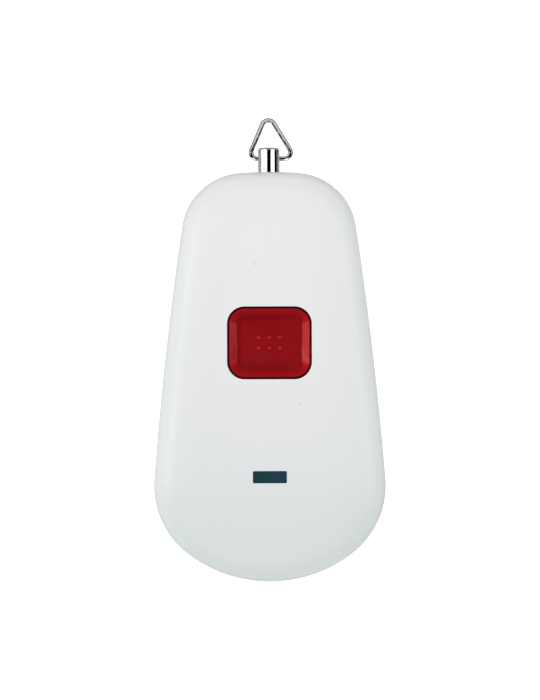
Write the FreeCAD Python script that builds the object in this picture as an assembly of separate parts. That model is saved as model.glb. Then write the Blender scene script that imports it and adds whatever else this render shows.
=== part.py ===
import FreeCAD
import Part
import math
import os

from FreeCAD import Vector

# A worn wireless panic button. A drop-shaped white case of two moulded shells lies on its flat
# back. Its crowned front has a dished red key with six touch dots and a dark window for the
# status light. A turned steel post swivels in the top end, between the shells, and a triangle
# of bent wire swings in its cross hole and takes the neck cord.
# X runs across, Y along the case towards the post, Z out of the front face. The origin is in
# the middle of the flat back. All sizes are in millimetres.

# Case outline, seen from the front: five pairs of tangent arcs.
case_width = 40.0
case_length = 70.7
shoulder_width = 30.25
shoulder_radius = 10.8
hip_radius = 14.75
chin_flatness = 3.25
brow_radius = 70.0
flank_radius = 640.0

# Case section.
case_depth = 15.0
front_edge_radius = 4.5
crown_radius = 28.0
crown_slope = 11.0
rear_edge_radius = 2.4
wall = 1.6
seam_height = 7.2
seam_groove_depth = 0.2
seam_groove_height = 0.24
lip_height = 1.2
lip_clearance = 0.1

# Red key and the opening that it moves in.
key_y = 5.85
opening_width = 14.35
opening_height = 12.3
opening_corner = 2.9
opening_edge = 0.22
key_gap = 0.25
rim_drop = 0.08
dish_depth = 0.85
dish_side_run = 1.22
dish_end_run = 1.25
dish_corner = 1.5
dish_floor_radius = 55.0
rim_land = 0.12
key_roof = 1.1
key_flange_overhang = 1.0
key_flange_thickness = 0.9
key_skirt = 1.1
key_stem_radius = 2.2
key_stem_rib = 0.9
flange_clearance = 0.25
stop_clearance = 0.05
dot_columns = 3
dot_rows = 2
dot_pitch_x = 1.85
dot_pitch_y = 1.8
dot_radius = 0.52
dot_height = 0.28

# Well that guides the key, moulded under the front.
landing_drop = 0.4
well_wall = 1.2

# Window of the status light.
window_y = -17.2
window_width = 5.85
window_height = 2.1
window_corner = 0.25
window_gap = 0.04
window_recess = 0.12
window_edge = 0.12
window_flange = 0.9
window_flange_thickness = 0.8
window_pad_margin = 0.8
window_pad_drop = 0.35
light_pipe_width = 4.4
light_pipe_height = 1.8
light_pipe_gap = 0.4

# Circuit board.
board_height = 6.0
board_thickness = 1.0
board_gap = 0.6
board_end_gap = 0.6

# Screws and the bosses that they draw together.
screw_inset = 5.4
top_screw_angle = -10.5
bottom_screw_angle = -17.5
screw_head_radius = 1.9
screw_head_height = 1.35
screw_head_edge = 0.4
screw_head_recess = 0.3
screw_radius = 1.0
screw_length = 8.0
screw_point = 0.9
cross_recess_width = 0.55
cross_recess_span = 2.1
cross_recess_depth = 0.8
pilot_gap = 0.02
screw_way_gap = 0.2
head_way_gap = 0.2
boss_radius = 3.1
nose_radius = 2.1
nose_gap = 0.2
board_slack = 0.1
pilot_end_gap = 0.6

# Swivelling post.
post_radius = 1.85
post_reach = 4.3
post_edge = 0.3
post_fit = 0.06
post_head_radius = 2.7
post_head_thickness = 1.4
post_head_gap = 0.12
post_bearing = 2.3
saddle_wall = 1.3
cross_hole_radius = 0.52
ring_axis_reach = 2.42

# Triangle of bent wire.
ring_wire = 0.85
ring_width = 7.7
ring_height = 7.5
ring_corner = 1.1
ring_apex = 1.15
ring_apex_offset = -0.4
ring_joint = 0.06
ring_shift = 0.35

# Push switch under the key.
switch_size = 6.2
switch_corner = 0.5
switch_base_height = 1.9
switch_base_floor = 0.5
switch_cavity_radius = 2.45
switch_cover_thickness = 0.25
switch_cover_hole = 1.8
switch_height = 3.1
plunger_radius = 1.7
plunger_flange_radius = 2.25
plunger_flange_thickness = 0.35
plunger_play = 0.03
dome_radius = 2.3
dome_sheet = 0.1
dome_crown_radius = 1.3
dome_crown_share = 0.72
rivet_radius = 0.3
rivet_height = 0.12
rivet_inset = 0.75
lead_width = 0.7
lead_sheet = 0.2
lead_foot = 1.0
lead_rise = 0.7
lead_spacing = 4.5

# Silicone key mat between the key and the switch.
mat_rim_height = 0.8
mat_rim_margin = 0.25
mat_web = 0.5
mat_foot_width = 13.4
mat_foot_height = 11.4
mat_top_width = 9.0
mat_top_height = 7.8
mat_top_thickness = 0.9
mat_corner = 1.6

# Coin cell and its contacts.
cell_y = -11.5
cell_radius = 10.0
cell_height = 3.2
cell_cap_radius = 8.7
cell_cap_rise = 0.15
cell_edge = 0.3
cell_groove = 0.35
contact_radius = 5.0
contact_thickness = 0.2
contact_bump_radius = 0.9
contact_bump_circle = 3.2
clip_sheet = 0.25
clip_width = 8.0
clip_side_gap = 0.45
clip_foot = 2.3
clip_bend = 0.5
clip_slot_length = 12.0
clip_slot_width = 2.4
cradle_gap = 0.5
cradle_wall = 0.9
cradle_height = 3.0
cradle_clip_gap = 0.8

# Small parts on the board: place of the middle and size of each.
radio_chip_place = (-7.4, -8.2)
radio_chip_size = (5.0, 5.0, 0.9)
controller_place = (7.0, -8.6)
controller_size = (5.3, 7.2, 1.6)
controller_lift = 0.15
controller_leads = 10
controller_lead_pitch = 0.65
controller_lead_width = 0.28
controller_lead_reach = 1.2
controller_lead_sheet = 0.16
crystal_place = (-7.4, -14.2)
crystal_size = (5.0, 3.2, 1.1)
crystal_lid_inset = 0.25
crystal_lid_height = 0.3
lamp_size = (3.5, 2.8, 1.9)
lamp_bowl_radius = 1.2
lamp_bowl_depth = 0.5
aerial_back = 5.6
aerial_width = 11.0
aerial_arm = 4.6
aerial_sheet = 0.3
aerial_height = 1.3
aerial_lift = 1.2
aerial_corner = 2.2
aerial_foot = 1.2
capacitor_size = (1.6, 0.8, 0.8)
capacitor_places = ((-12.6, -7.0), (-12.6, -9.4), (-3.0, -5.2), (0.0, -5.2), (1.2, -11.4), (-11.9, 3.0))
resistor_size = (1.6, 0.8, 0.45)
resistor_places = ((12.3, -5.6), (12.3, -7.6), (12.3, -9.6), (-3.6, -16.4), (4.4, -18.2), (11.9, 7.0))

# Values worked out from the sizes above.
top_end = case_length / 2
bottom_end = -case_length / 2
chin_radius = case_width / 2 + chin_flatness
brow_centre = Vector(0, top_end - brow_radius, 0)
chin_centre = Vector(0, bottom_end + chin_radius, 0)
shoulder_x = shoulder_width / 2 - shoulder_radius
shoulder_rise = math.sqrt((brow_radius - shoulder_radius) ** 2 - shoulder_x ** 2)
shoulder_centre = Vector(shoulder_x, brow_centre.y + shoulder_rise, 0)
hip_x = case_width / 2 - hip_radius
hip_drop = math.sqrt((chin_radius - hip_radius) ** 2 - hip_x ** 2)
hip_centre = Vector(hip_x, chin_centre.y - hip_drop, 0)
crown_start = front_edge_radius + (crown_radius - front_edge_radius) * math.sin(math.radians(crown_slope))
front_edge_height = case_depth - crown_radius
front_edge_height += (crown_radius - front_edge_radius) * math.cos(math.radians(crown_slope))
board_top = board_height + board_thickness
plunger_top = board_top + switch_height
mat_top = plunger_top + mat_top_thickness
key_width = opening_width - 2 * key_gap
key_height = opening_height - 2 * key_gap
key_corner = opening_corner - key_gap
flange_width = key_width + 2 * key_flange_overhang
flange_height = key_height + 2 * key_flange_overhang
flange_corner = key_corner + key_flange_overhang
well_width = flange_width + 2 * (flange_clearance + well_wall)
well_height = flange_height + 2 * (flange_clearance + well_wall)
well_corner = flange_corner + flange_clearance + well_wall
mat_rim_top = board_top + mat_rim_height
ring_axis_y = top_end + ring_axis_reach
post_shoulder_y = top_end - post_bearing
pocket_end_y = post_shoulder_y - post_head_thickness - post_head_gap
saddle_end_y = pocket_end_y - saddle_wall
saddle_half = post_head_radius + post_head_gap + saddle_wall
board_end_y = saddle_end_y - board_end_gap
head_seat_height = screw_head_height + screw_head_recess
cell_top = board_height - contact_thickness
cell_bottom = cell_top - cell_height
stop_height = case_depth - wall - landing_drop
flange_top = stop_height - stop_clearance
rim_height = case_depth - rim_drop
dish_floor = rim_height - dish_depth
window_seat = case_depth - wall - window_pad_drop
lamp_top = board_top + lamp_size[2]


def circle_meeting(first, first_radius, second, second_radius):
    """Where two circles meet, on the side of smaller x."""
    span = second - first
    distance = span.Length
    along = (first_radius ** 2 - second_radius ** 2 + distance ** 2) / (2 * distance)
    aside = math.sqrt(first_radius ** 2 - along ** 2)
    unit = span / distance
    foot = first + unit * along
    options = [foot + Vector(-unit.y, unit.x, 0) * s * aside for s in (-1, 1)]
    return min(options, key=lambda point: point.x)


flank_centre = circle_meeting(
    shoulder_centre, flank_radius - shoulder_radius, hip_centre, flank_radius - hip_radius
)


def arc(centre, radius, start, end):
    """The shorter arc about a centre from one point to another."""
    middle = (start - centre) + (end - centre)
    middle.normalize()
    return Part.Arc(start, centre + middle * radius, end).toShape()


def towards(centre, target, radius):
    """The point of a circle that lies towards a target."""
    direction = target - centre
    direction.normalize()
    return centre + direction * radius


def mirrored(point):
    """A point's mirror image in the middle plane."""
    return Vector(-point.x, point.y, point.z)


def outline_arcs(inset):
    """The outline's ten arcs, drawn in by an inset, each as (centre, radius, start, end)."""
    brow = towards(brow_centre, shoulder_centre, brow_radius - inset)
    shoulder = towards(flank_centre, shoulder_centre, flank_radius - inset)
    hip = towards(flank_centre, hip_centre, flank_radius - inset)
    chin = towards(chin_centre, hip_centre, chin_radius - inset)
    right = [
        (shoulder_centre, shoulder_radius - inset, brow, shoulder),
        (flank_centre, flank_radius - inset, shoulder, hip),
        (hip_centre, hip_radius - inset, hip, chin),
    ]
    left = [(mirrored(c), r, mirrored(end), mirrored(start)) for c, r, start, end in reversed(right)]
    top = [(brow_centre, brow_radius - inset, mirrored(brow), brow)]
    bottom = [(chin_centre, chin_radius - inset, chin, mirrored(chin))]
    return top + right + bottom + left


def case_outline(inset, height=0.0):
    """The face inside the case's outline, drawn in by an inset, at a height."""
    face = Part.Face(Part.Wire([arc(*piece) for piece in outline_arcs(inset)]))
    face.translate(Vector(0, 0, height))
    return face


def edge_band(inset, centre, radius, start):
    """Section of the case's rounded margin above one point of the outline."""
    outward = start - centre
    outward.normalize()

    def at(depth, height):
        return centre + outward * (radius - depth) + Vector(0, 0, height)

    def bow(depth, height, arc_radius, first, last):
        points = []
        for angle in (first, (first + last) / 2, last):
            turn = math.radians(angle)
            points.append(at(depth - arc_radius * math.cos(turn), height + arc_radius * math.sin(turn)))
        return points

    crest = 90 - crown_slope
    rear = bow(rear_edge_radius, rear_edge_radius, rear_edge_radius - inset, -90, 0)
    front = bow(front_edge_radius, front_edge_height, front_edge_radius - inset, 0, crest)
    crown = bow(crown_start, case_depth - crown_radius, crown_radius - inset, crest, 90)
    edges = [
        Part.Arc(*rear).toShape(),
        Part.makeLine(rear[2], front[0]),
        Part.Arc(*front).toShape(),
        Part.Arc(*crown).toShape(),
        Part.makeLine(crown[2], at(crown_start, inset)),
        Part.makeLine(at(crown_start, inset), rear[0]),
    ]
    return Part.Face(Part.Wire(edges))


def case_body(inset):
    """The whole case as one rounded solid, drawn in by an inset."""
    middle = case_outline(crown_start, inset).extrude(Vector(0, 0, case_depth - 2 * inset))
    margins = []
    for centre, radius, start, end in outline_arcs(0.0):
        turn = math.degrees((start - centre).getAngle(end - centre))
        band = edge_band(inset, centre, radius, start)
        margins.append(band.revolve(centre, Vector(0, 0, -1), turn))
    return middle.fuse(margins).removeSplitter()


def slab(low, high):
    """A slab wider than the case between two heights."""
    side = 3 * case_length
    return Part.makeBox(side, side, high - low, Vector(-side / 2, -side / 2, low))


def box_about(x, y, size, low):
    """A box with its middle at a place and its foot at a height."""
    width, length, height = size
    return Part.makeBox(width, length, height, Vector(x - width / 2, y - length / 2, low))


def rounded_wire(width, height, corner, y, level):
    """A rectangle with round corners, centred on the middle plane."""
    x_in = width / 2 - corner
    y_in = height / 2 - corner
    edges = []
    centres = ((x_in, y_in, 0), (-x_in, y_in, 90), (-x_in, -y_in, 180), (x_in, -y_in, 270))
    for index, (cx, cy, start) in enumerate(centres):
        centre = Vector(cx, y + cy, level)
        points = []
        for turn in (0, 45, 90):
            angle = math.radians(start + turn)
            points.append(centre + Vector(math.cos(angle), math.sin(angle), 0) * corner)
        edges.append(Part.Arc(*points).toShape())
        next_x, next_y, next_start = centres[(index + 1) % 4]
        angle = math.radians(next_start)
        following = Vector(next_x, y + next_y, level)
        following = following + Vector(math.cos(angle), math.sin(angle), 0) * corner
        edges.append(Part.makeLine(points[2], following))
    return Part.Wire(edges)


def rounded_block(width, height, corner, y, low, high):
    """A rounded rectangle raised between two heights."""
    face = Part.Face(rounded_wire(width, height, corner, y, low))
    return face.extrude(Vector(0, 0, high - low))


def tapered_block(foot, head, low, high):
    """A ruled solid between two rounded rectangles, each (width, height, corner, y)."""
    return Part.makeLoft([rounded_wire(*foot, low), rounded_wire(*head, high)], True, True)


def cylinder(x, y, radius, low, high):
    """An upright cylinder."""
    return Part.makeCylinder(radius, high - low, Vector(x, y, low))


def turned(points, centre, axis):
    """A solid of revolution from a closed outline of points."""
    face = Part.Face(Part.makePolygon(points + [points[0]]))
    return face.revolve(centre, axis, 360)


def fused(shapes):
    """One shape from several that meet."""
    first, *rest = shapes
    return first.fuse(rest).removeSplitter() if rest else first


def boss_places():
    """The places of the four screws, one inset from the outline at each shoulder and hip."""
    places = []
    corners = (
        (shoulder_centre, shoulder_radius, top_screw_angle),
        (hip_centre, hip_radius, bottom_screw_angle),
    )
    for centre, radius, angle in corners:
        turn = math.radians(angle)
        place = centre + Vector(math.cos(turn), math.sin(turn), 0) * (radius - screw_inset)
        places.append((-place.x, place.y))
        places.append((place.x, place.y))
    return places


def post_cutter():
    """The room that the post needs in the two shells."""
    bore = post_radius + post_fit
    pocket = post_head_radius + post_head_gap
    reach = top_end + post_reach
    origin = Vector(0, pocket_end_y, seam_height)
    head_room = Part.makeCylinder(pocket, post_shoulder_y - pocket_end_y, origin, Vector(0, 1, 0))
    stem_room = Part.makeCylinder(bore, reach - pocket_end_y, origin, Vector(0, 1, 0))
    return head_room.fuse(stem_room)


def post_saddle(low, high):
    """Half of the block that carries the post, between two heights."""
    size = (2 * saddle_half, top_end - saddle_end_y, high - low)
    return box_about(0, (top_end + saddle_end_y) / 2, size, low)


def seam_groove():
    """The fine shadow groove along the joint of the shells."""
    low = seam_height - seam_groove_height / 2
    outer = case_outline(-seam_groove_depth, low)
    inner = case_outline(seam_groove_depth, low)
    return outer.cut(inner).extrude(Vector(0, 0, seam_groove_height))


outer_body = case_body(0.0)
inner_body = case_body(wall)
trim_body = case_body(wall / 2)
shell = outer_body.cut(inner_body)


def front_cover():
    """Front shell: crowned face, key well, window pad, screw bosses, half saddle."""
    cover = shell.common(slab(seam_height, case_depth + 1))
    lip_room = case_outline(wall / 2, seam_height)
    cover = cover.cut(lip_room.extrude(Vector(0, 0, lip_height + lip_clearance)))
    well = rounded_block(well_width, well_height, well_corner, key_y, mat_rim_top, case_depth)
    hollow = rounded_block(
        flange_width + 2 * flange_clearance,
        flange_height + 2 * flange_clearance,
        flange_corner + flange_clearance,
        key_y,
        mat_rim_top,
        stop_height,
    )
    pad = rounded_block(
        window_width + 2 * (window_flange + window_pad_margin),
        window_height + 2 * (window_flange + window_pad_margin),
        window_corner + window_flange + window_pad_margin,
        window_y,
        window_seat,
        case_depth,
    )
    inside = [well.cut(hollow), pad, post_saddle(seam_height, seam_height + saddle_half)]
    for x, y in boss_places():
        shoulder = cylinder(x, y, boss_radius, board_top + board_slack, case_depth)
        nose = cylinder(x, y, nose_radius, board_height, case_depth)
        inside.append(shoulder.fuse(nose))
    cover = fused([cover] + [piece.common(trim_body) for piece in inside])
    cover = cover.cut(post_cutter())
    for x, y in boss_places():
        pilot_end = head_seat_height + screw_length + pilot_end_gap
        cover = cover.cut(cylinder(x, y, screw_radius + pilot_gap, board_height, pilot_end))
    opening = rounded_block(
        opening_width, opening_height, opening_corner, key_y, mat_rim_top, case_depth + 1
    )
    window = rounded_block(
        window_width, window_height, window_corner, window_y, window_seat - 1, case_depth + 1
    )
    cover = cover.cut(opening).cut(window).cut(seam_groove())
    rim = [edge for edge in cover.Edges if on_opening_rim(edge)]
    return cover.makeFillet(opening_edge, rim)


def on_opening_rim(edge):
    """Whether an edge is where the key's opening meets the front face."""
    box = edge.BoundBox
    in_width = max(abs(box.XMin), abs(box.XMax)) < well_width / 2
    in_height = max(abs(box.YMin - key_y), abs(box.YMax - key_y)) < well_height / 2
    return in_width and in_height and box.ZMin > case_depth - 0.01


def rear_cover():
    """Rear shell: flat back, lip, screw bosses, cell cradle, half saddle."""
    cover = shell.common(slab(-1, seam_height))
    lip_top = seam_height + lip_height
    lip = case_outline(wall / 2 + lip_clearance, seam_height - wall)
    lip = lip.cut(case_outline(wall, seam_height - wall))
    lip = lip.extrude(Vector(0, 0, lip_top - seam_height + wall))
    cradle_inner = cell_radius + cradle_gap
    cradle_top = wall + cradle_height
    cradle = cylinder(0, cell_y, cradle_inner + cradle_wall, wall / 2, cradle_top)
    cradle = cradle.cut(cylinder(0, cell_y, cradle_inner, wall / 2, cradle_top))
    gap_size = (4 * cell_radius, clip_width + 2 * cradle_clip_gap, cradle_top)
    cradle = cradle.cut(box_about(0, cell_y, gap_size, 0))
    inside = [lip, cradle]
    for x, y in boss_places():
        inside.append(cylinder(x, y, boss_radius, wall / 2, board_height))
    saddle = post_saddle(seam_height - saddle_half, seam_height)
    inside.append(saddle)
    cover = fused([cover] + [piece.common(trim_body) for piece in inside])
    cover = cover.cut(post_cutter())
    saddle_way = (2 * (saddle_half + lip_clearance), 2 * (top_end - saddle_end_y), 2 * lip_height)
    cover = cover.cut(box_about(0, top_end, saddle_way, seam_height))
    for x, y in boss_places():
        cover = cover.cut(cylinder(x, y, screw_radius + screw_way_gap, -1, board_height + 1))
        cover = cover.cut(cylinder(x, y, screw_head_radius + head_way_gap, -1, head_seat_height))
    return cover.cut(seam_groove())


def red_key():
    """Dished key with six touch dots, a skirt, a stop flange and a ribbed stem."""
    rim = (key_width, key_height, key_corner, key_y)
    blank = rounded_block(*rim, flange_top, rim_height)
    dish_mouth = (
        key_width - 2 * rim_land,
        key_height - 2 * rim_land,
        key_corner - rim_land,
        key_y,
    )
    dish_base = (
        key_width - 2 * (rim_land + dish_side_run),
        key_height - 2 * (rim_land + dish_end_run),
        dish_corner,
        key_y,
    )
    dish = tapered_block(dish_base, dish_mouth, dish_floor, rim_height)
    roller_start = Vector(-key_width, key_y, dish_floor + dish_floor_radius)
    roller = Part.makeCylinder(dish_floor_radius, 2 * key_width, roller_start, Vector(1, 0, 0))
    blank = blank.cut(dish.common(roller))
    flange_low = flange_top - key_flange_thickness
    flange = rounded_block(flange_width, flange_height, flange_corner, key_y, flange_low, flange_top)
    hollow = rounded_block(
        key_width - 2 * key_skirt,
        key_height - 2 * key_skirt,
        key_corner - key_skirt,
        key_y,
        flange_low,
        dish_floor - key_roof,
    )
    key = fused([blank, flange]).cut(hollow)
    stem_height = dish_floor - mat_top
    stem = [
        box_about(0, key_y, (2 * key_stem_radius, key_stem_rib, stem_height - key_roof / 2), mat_top),
        box_about(0, key_y, (key_stem_rib, 2 * key_stem_radius, stem_height - key_roof / 2), mat_top),
    ]
    return fused([key] + stem + touch_dots())


def touch_dots():
    """Low round dots in rows on the floor of the dish."""
    ball_radius = (dot_radius ** 2 + dot_height ** 2) / (2 * dot_height)
    dots = []
    for column in range(dot_columns):
        for row in range(dot_rows):
            x = (column - (dot_columns - 1) / 2) * dot_pitch_x
            y = key_y + (row - (dot_rows - 1) / 2) * dot_pitch_y
            centre = Vector(x, y, dish_floor + dot_height - ball_radius)
            ball = Part.makeSphere(ball_radius, centre)
            root = cylinder(x, y, dot_radius, dish_floor - key_roof / 2, dish_floor + dot_height)
            dots.append(ball.common(root))
    return dots


def key_mat():
    """Silicone mat: a flat rim, four sloping webs and a top that the key's stem presses."""
    rim = rounded_block(
        well_width - 2 * mat_rim_margin,
        well_height - 2 * mat_rim_margin,
        well_corner - mat_rim_margin,
        key_y,
        board_top,
        mat_rim_top,
    )
    foot = (mat_foot_width, mat_foot_height, mat_corner, key_y)
    head = (mat_top_width, mat_top_height, mat_corner, key_y)
    tent = tapered_block(foot, head, board_top, mat_top)
    inner_foot = (mat_foot_width - 2 * mat_web, mat_foot_height - 2 * mat_web, mat_corner - mat_web, key_y)
    inner_head = (mat_top_width - 2 * mat_web, mat_top_height - 2 * mat_web, mat_corner - mat_web, key_y)
    room = tapered_block(inner_foot, inner_head, board_top, plunger_top)
    return fused([rim, tent]).cut(room)


def window_lens():
    """Smoked window with a flange behind the front and a light pipe towards the lamp."""
    face = rounded_block(
        window_width - 2 * window_gap,
        window_height - 2 * window_gap,
        window_corner - window_gap,
        window_y,
        window_seat - window_flange_thickness,
        case_depth - window_recess,
    )
    rim = [edge for edge in face.Edges if edge.BoundBox.ZMin > case_depth - window_recess - 0.01]
    face = face.makeChamfer(window_edge, rim)
    flange = rounded_block(
        window_width + 2 * window_flange,
        window_height + 2 * window_flange,
        window_corner + window_flange,
        window_y,
        window_seat - window_flange_thickness,
        window_seat,
    )
    pipe_size = (light_pipe_width, light_pipe_height, window_seat - lamp_top - light_pipe_gap)
    pipe = box_about(0, window_y, pipe_size, lamp_top + light_pipe_gap)
    return fused([face, flange, pipe])


def circuit_board():
    """Board that follows the case and stops short of the post's saddle."""
    board = case_outline(wall + board_gap, board_height).extrude(Vector(0, 0, board_thickness))
    beyond = (2 * case_width, 2 * case_length, case_depth)
    board = board.cut(box_about(0, board_end_y + case_length, beyond, 0))
    for x, y in boss_places():
        board = board.cut(cylinder(x, y, nose_radius + nose_gap, 0, case_depth))
    return board


def screw(x, y):
    """Pan-head self-tapping screw with a cross recess, driven in from the back."""
    low = screw_head_recess
    seat = head_seat_height
    tip = seat + screw_length
    head = cylinder(x, y, screw_head_radius, low, seat)
    head = head.makeChamfer(screw_head_edge, [e for e in head.Edges if e.BoundBox.ZMax < low + 0.01])
    for size in ((cross_recess_span, cross_recess_width), (cross_recess_width, cross_recess_span)):
        head = head.cut(box_about(x, y, (*size, cross_recess_depth), low))
    stem = cylinder(x, y, screw_radius, seat, tip - screw_point)
    point_start = Vector(x, y, tip - screw_point)
    point = Part.makeCone(screw_radius, screw_radius / 4, screw_point, point_start)
    return fused([head, stem, point])


def swivel_post():
    """Turned post: a round head held in its pocket and a stem with a cross hole."""
    head_low = pocket_end_y + post_head_gap / 2
    head_high = post_shoulder_y - post_head_gap / 2
    top = top_end + post_reach
    profile = (
        (0, head_low),
        (post_head_radius - post_edge, head_low),
        (post_head_radius, head_low + post_edge),
        (post_head_radius, head_high),
        (post_radius, head_high),
        (post_radius, top - post_edge),
        (post_radius - post_edge, top),
        (0, top),
    )
    points = [Vector(radius, y, seam_height) for radius, y in profile]
    post = turned(points, Vector(0, 0, seam_height), Vector(0, 1, 0))
    start = Vector(-2 * post_radius, ring_axis_y, seam_height)
    return post.cut(Part.makeCylinder(cross_hole_radius, 4 * post_radius, start, Vector(1, 0, 0)))


def ring_leg(apex_x):
    """Leg to the right of an apex at apex_x: its corner's centre, its low end and its high end."""
    half = (ring_width - ring_wire) / 2
    corner = Vector(half - ring_corner, ring_axis_y + ring_corner, seam_height)
    span = ring_apex_centre(apex_x) - corner
    unit = span / span.Length
    lean = (ring_corner - ring_apex) / span.Length
    outward = Vector(unit.y, -unit.x, 0) * math.sqrt(1 - lean ** 2) + unit * lean
    return corner, corner + outward * ring_corner, ring_apex_centre(apex_x) + outward * ring_apex


def ring_apex_centre(apex_x):
    """Centre of the bend at the top of the wire triangle."""
    return Vector(apex_x, ring_axis_y + ring_height - ring_wire - ring_apex, seam_height)


def ring_path():
    """Centre line of the wire triangle, from one side of its joint round to the other."""
    start = Vector(ring_joint / 2, ring_axis_y, seam_height)
    corner, low, high = ring_leg(ring_apex_offset)
    far_corner, far_low, far_high = [mirrored(point) for point in ring_leg(-ring_apex_offset)]
    bar_end = Vector(corner.x, ring_axis_y, seam_height)
    edges = [
        Part.makeLine(start, bar_end),
        arc(corner, ring_corner, bar_end, low),
        Part.makeLine(low, high),
        arc(ring_apex_centre(ring_apex_offset), ring_apex, high, far_high),
        Part.makeLine(far_high, far_low),
        arc(far_corner, ring_corner, far_low, mirrored(bar_end)),
        Part.makeLine(mirrored(bar_end), mirrored(start)),
    ]
    return Part.Wire(edges)


def cord_ring():
    """Triangle bent from one length of wire, its butt joint hidden in the post."""
    start = Vector(ring_joint / 2, ring_axis_y, seam_height)
    section = Part.Wire(Part.makeCircle(ring_wire / 2, start, Vector(1, 0, 0)))
    ring = ring_path().makePipeShell([section], True, False)
    ring.translate(Vector(ring_shift, 0, 0))
    return ring


def switch_base():
    """Moulded base of the push switch with a round well for the dome."""
    base = rounded_block(
        switch_size, switch_size, switch_corner, key_y, board_top, board_top + switch_base_height
    )
    floor = board_top + switch_base_floor
    return base.cut(cylinder(0, key_y, switch_cavity_radius, floor, board_top + switch_base_height))


def switch_cover():
    """Pressed steel plate on the switch, held by four rivet heads."""
    low = board_top + switch_base_height
    high = low + switch_cover_thickness
    plate = rounded_block(switch_size, switch_size, switch_corner, key_y, low, high)
    plate = plate.cut(cylinder(0, key_y, switch_cover_hole, low, high))
    place = switch_size / 2 - rivet_inset
    heads = []
    for x in (-place, place):
        for y in (-place, place):
            heads.append(cylinder(x, key_y + y, rivet_radius, low, high + rivet_height))
    return fused([plate] + heads)


def switch_plunger():
    """Round plunger of the switch with the flange that keeps it in."""
    flange_high = board_top + switch_base_height - plunger_play
    flange = cylinder(0, key_y, plunger_flange_radius, flange_high - plunger_flange_thickness, flange_high)
    stem = cylinder(0, key_y, plunger_radius, flange_high - plunger_flange_thickness, plunger_top)
    return fused([flange, stem])


def switch_dome():
    """Thin sprung dome that clicks under the plunger."""
    low = board_top + switch_base_floor
    flange_low = board_top + switch_base_height - plunger_play - plunger_flange_thickness
    rise = flange_low - low - dome_sheet
    outline = (
        (dome_radius, 0),
        (dome_crown_radius, rise * dome_crown_share),
        (0, rise),
    )
    under = [Vector(radius, key_y, low + height) for radius, height in outline]
    over = [point + Vector(0, 0, dome_sheet) for point in reversed(under)]
    return turned(under + over, Vector(0, key_y, 0), Vector(0, 0, 1))


def switch_leads():
    """Four bent leads of the switch, soldered to the board."""
    leads = []
    reach = switch_size / 2
    for x_side in (-1, 1):
        for y_side in (-1, 1):
            y = key_y + y_side * lead_spacing / 2
            foot_x = x_side * (reach + lead_foot / 2)
            foot = box_about(foot_x, y, (lead_foot, lead_width, lead_sheet), board_top)
            rise_x = x_side * (reach + lead_sheet / 2)
            rise = box_about(rise_x, y, (lead_sheet, lead_width, lead_rise), board_top)
            leads.append(foot.fuse(rise).removeSplitter())
    return Part.makeCompound(leads)


def coin_cell():
    """Coin cell, its smaller pole towards the board, with the crimp groove between."""
    rim = cell_height - cell_cap_rise
    profile = (
        (0, 0),
        (cell_radius - cell_edge, 0),
        (cell_radius, cell_edge),
        (cell_radius, rim - cell_edge),
        (cell_radius - cell_edge, rim),
        (cell_cap_radius + cell_groove, rim),
        (cell_cap_radius + cell_groove, rim - cell_groove),
        (cell_cap_radius, rim - cell_groove),
        (cell_cap_radius, cell_height - cell_cap_rise / 2),
        (cell_cap_radius - cell_edge, cell_height),
        (0, cell_height),
    )
    points = [Vector(radius, cell_y, cell_bottom + height) for radius, height in profile]
    return turned(points, Vector(0, cell_y, 0), Vector(0, 0, 1))


def cell_contact():
    """Round contact plate under the board for the cell's smaller pole."""
    plate = cylinder(0, cell_y, contact_radius, cell_top, board_height)
    holes = []
    for index in range(3):
        angle = math.radians(90 + 120 * index)
        x = contact_bump_circle * math.cos(angle)
        y = cell_y + contact_bump_circle * math.sin(angle)
        holes.append(cylinder(x, y, contact_bump_radius, cell_top, board_height))
    return plate.cut(Part.makeCompound(holes))


def cell_clip():
    """Bent sheet strap that holds the cell against the board and meets its larger pole."""
    leg_in = cell_radius + clip_side_gap
    leg_out = leg_in + clip_sheet
    foot_end = leg_in + clip_foot
    strap_low = cell_bottom - clip_sheet
    foot_low = board_height - clip_sheet
    right = (
        (foot_end, board_height),
        (leg_in, board_height),
        (leg_in, cell_bottom),
    )
    back = (
        (leg_out, strap_low),
        (leg_out, foot_low),
        (foot_end, foot_low),
    )
    left = [(-x, z) for x, z in reversed(right)]
    left_back = [(-x, z) for x, z in reversed(back)]
    outline = list(right) + left + left_back + list(back)
    low_y = cell_y - clip_width / 2
    points = [Vector(x, low_y, z) for x, z in outline]
    strip = Part.Face(Part.makePolygon(points + [points[0]])).extrude(Vector(0, clip_width, 0))
    bends = [edge for edge in strip.Edges if runs_along_y(edge) and is_bend(edge, leg_out)]
    strip = strip.makeFillet(clip_bend, bends)
    slot = (clip_slot_length, clip_slot_width, clip_sheet * 3)
    return strip.cut(box_about(0, cell_y, slot, strap_low - clip_sheet))


def runs_along_y(edge):
    """Whether an edge is parallel to the case's length."""
    box = edge.BoundBox
    return box.XLength < 0.01 and box.ZLength < 0.01


def is_bend(edge, leg_out):
    """Whether an edge lies on the outside of one of the strap's bends."""
    box = edge.BoundBox
    return abs(abs(box.Center.x) - leg_out) < 0.01 and box.ZMax < board_height - 2 * clip_sheet


def board_block(place, size, lift=0.0):
    """A plain moulded block soldered on the board."""
    return box_about(place[0], place[1], size, board_top + lift)


def radio_chip():
    """Flat radio chip."""
    return board_block(radio_chip_place, radio_chip_size)


def controller_chip():
    """Moulded controller chip, lifted on its leads."""
    return board_block(controller_place, controller_size, controller_lift)


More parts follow.
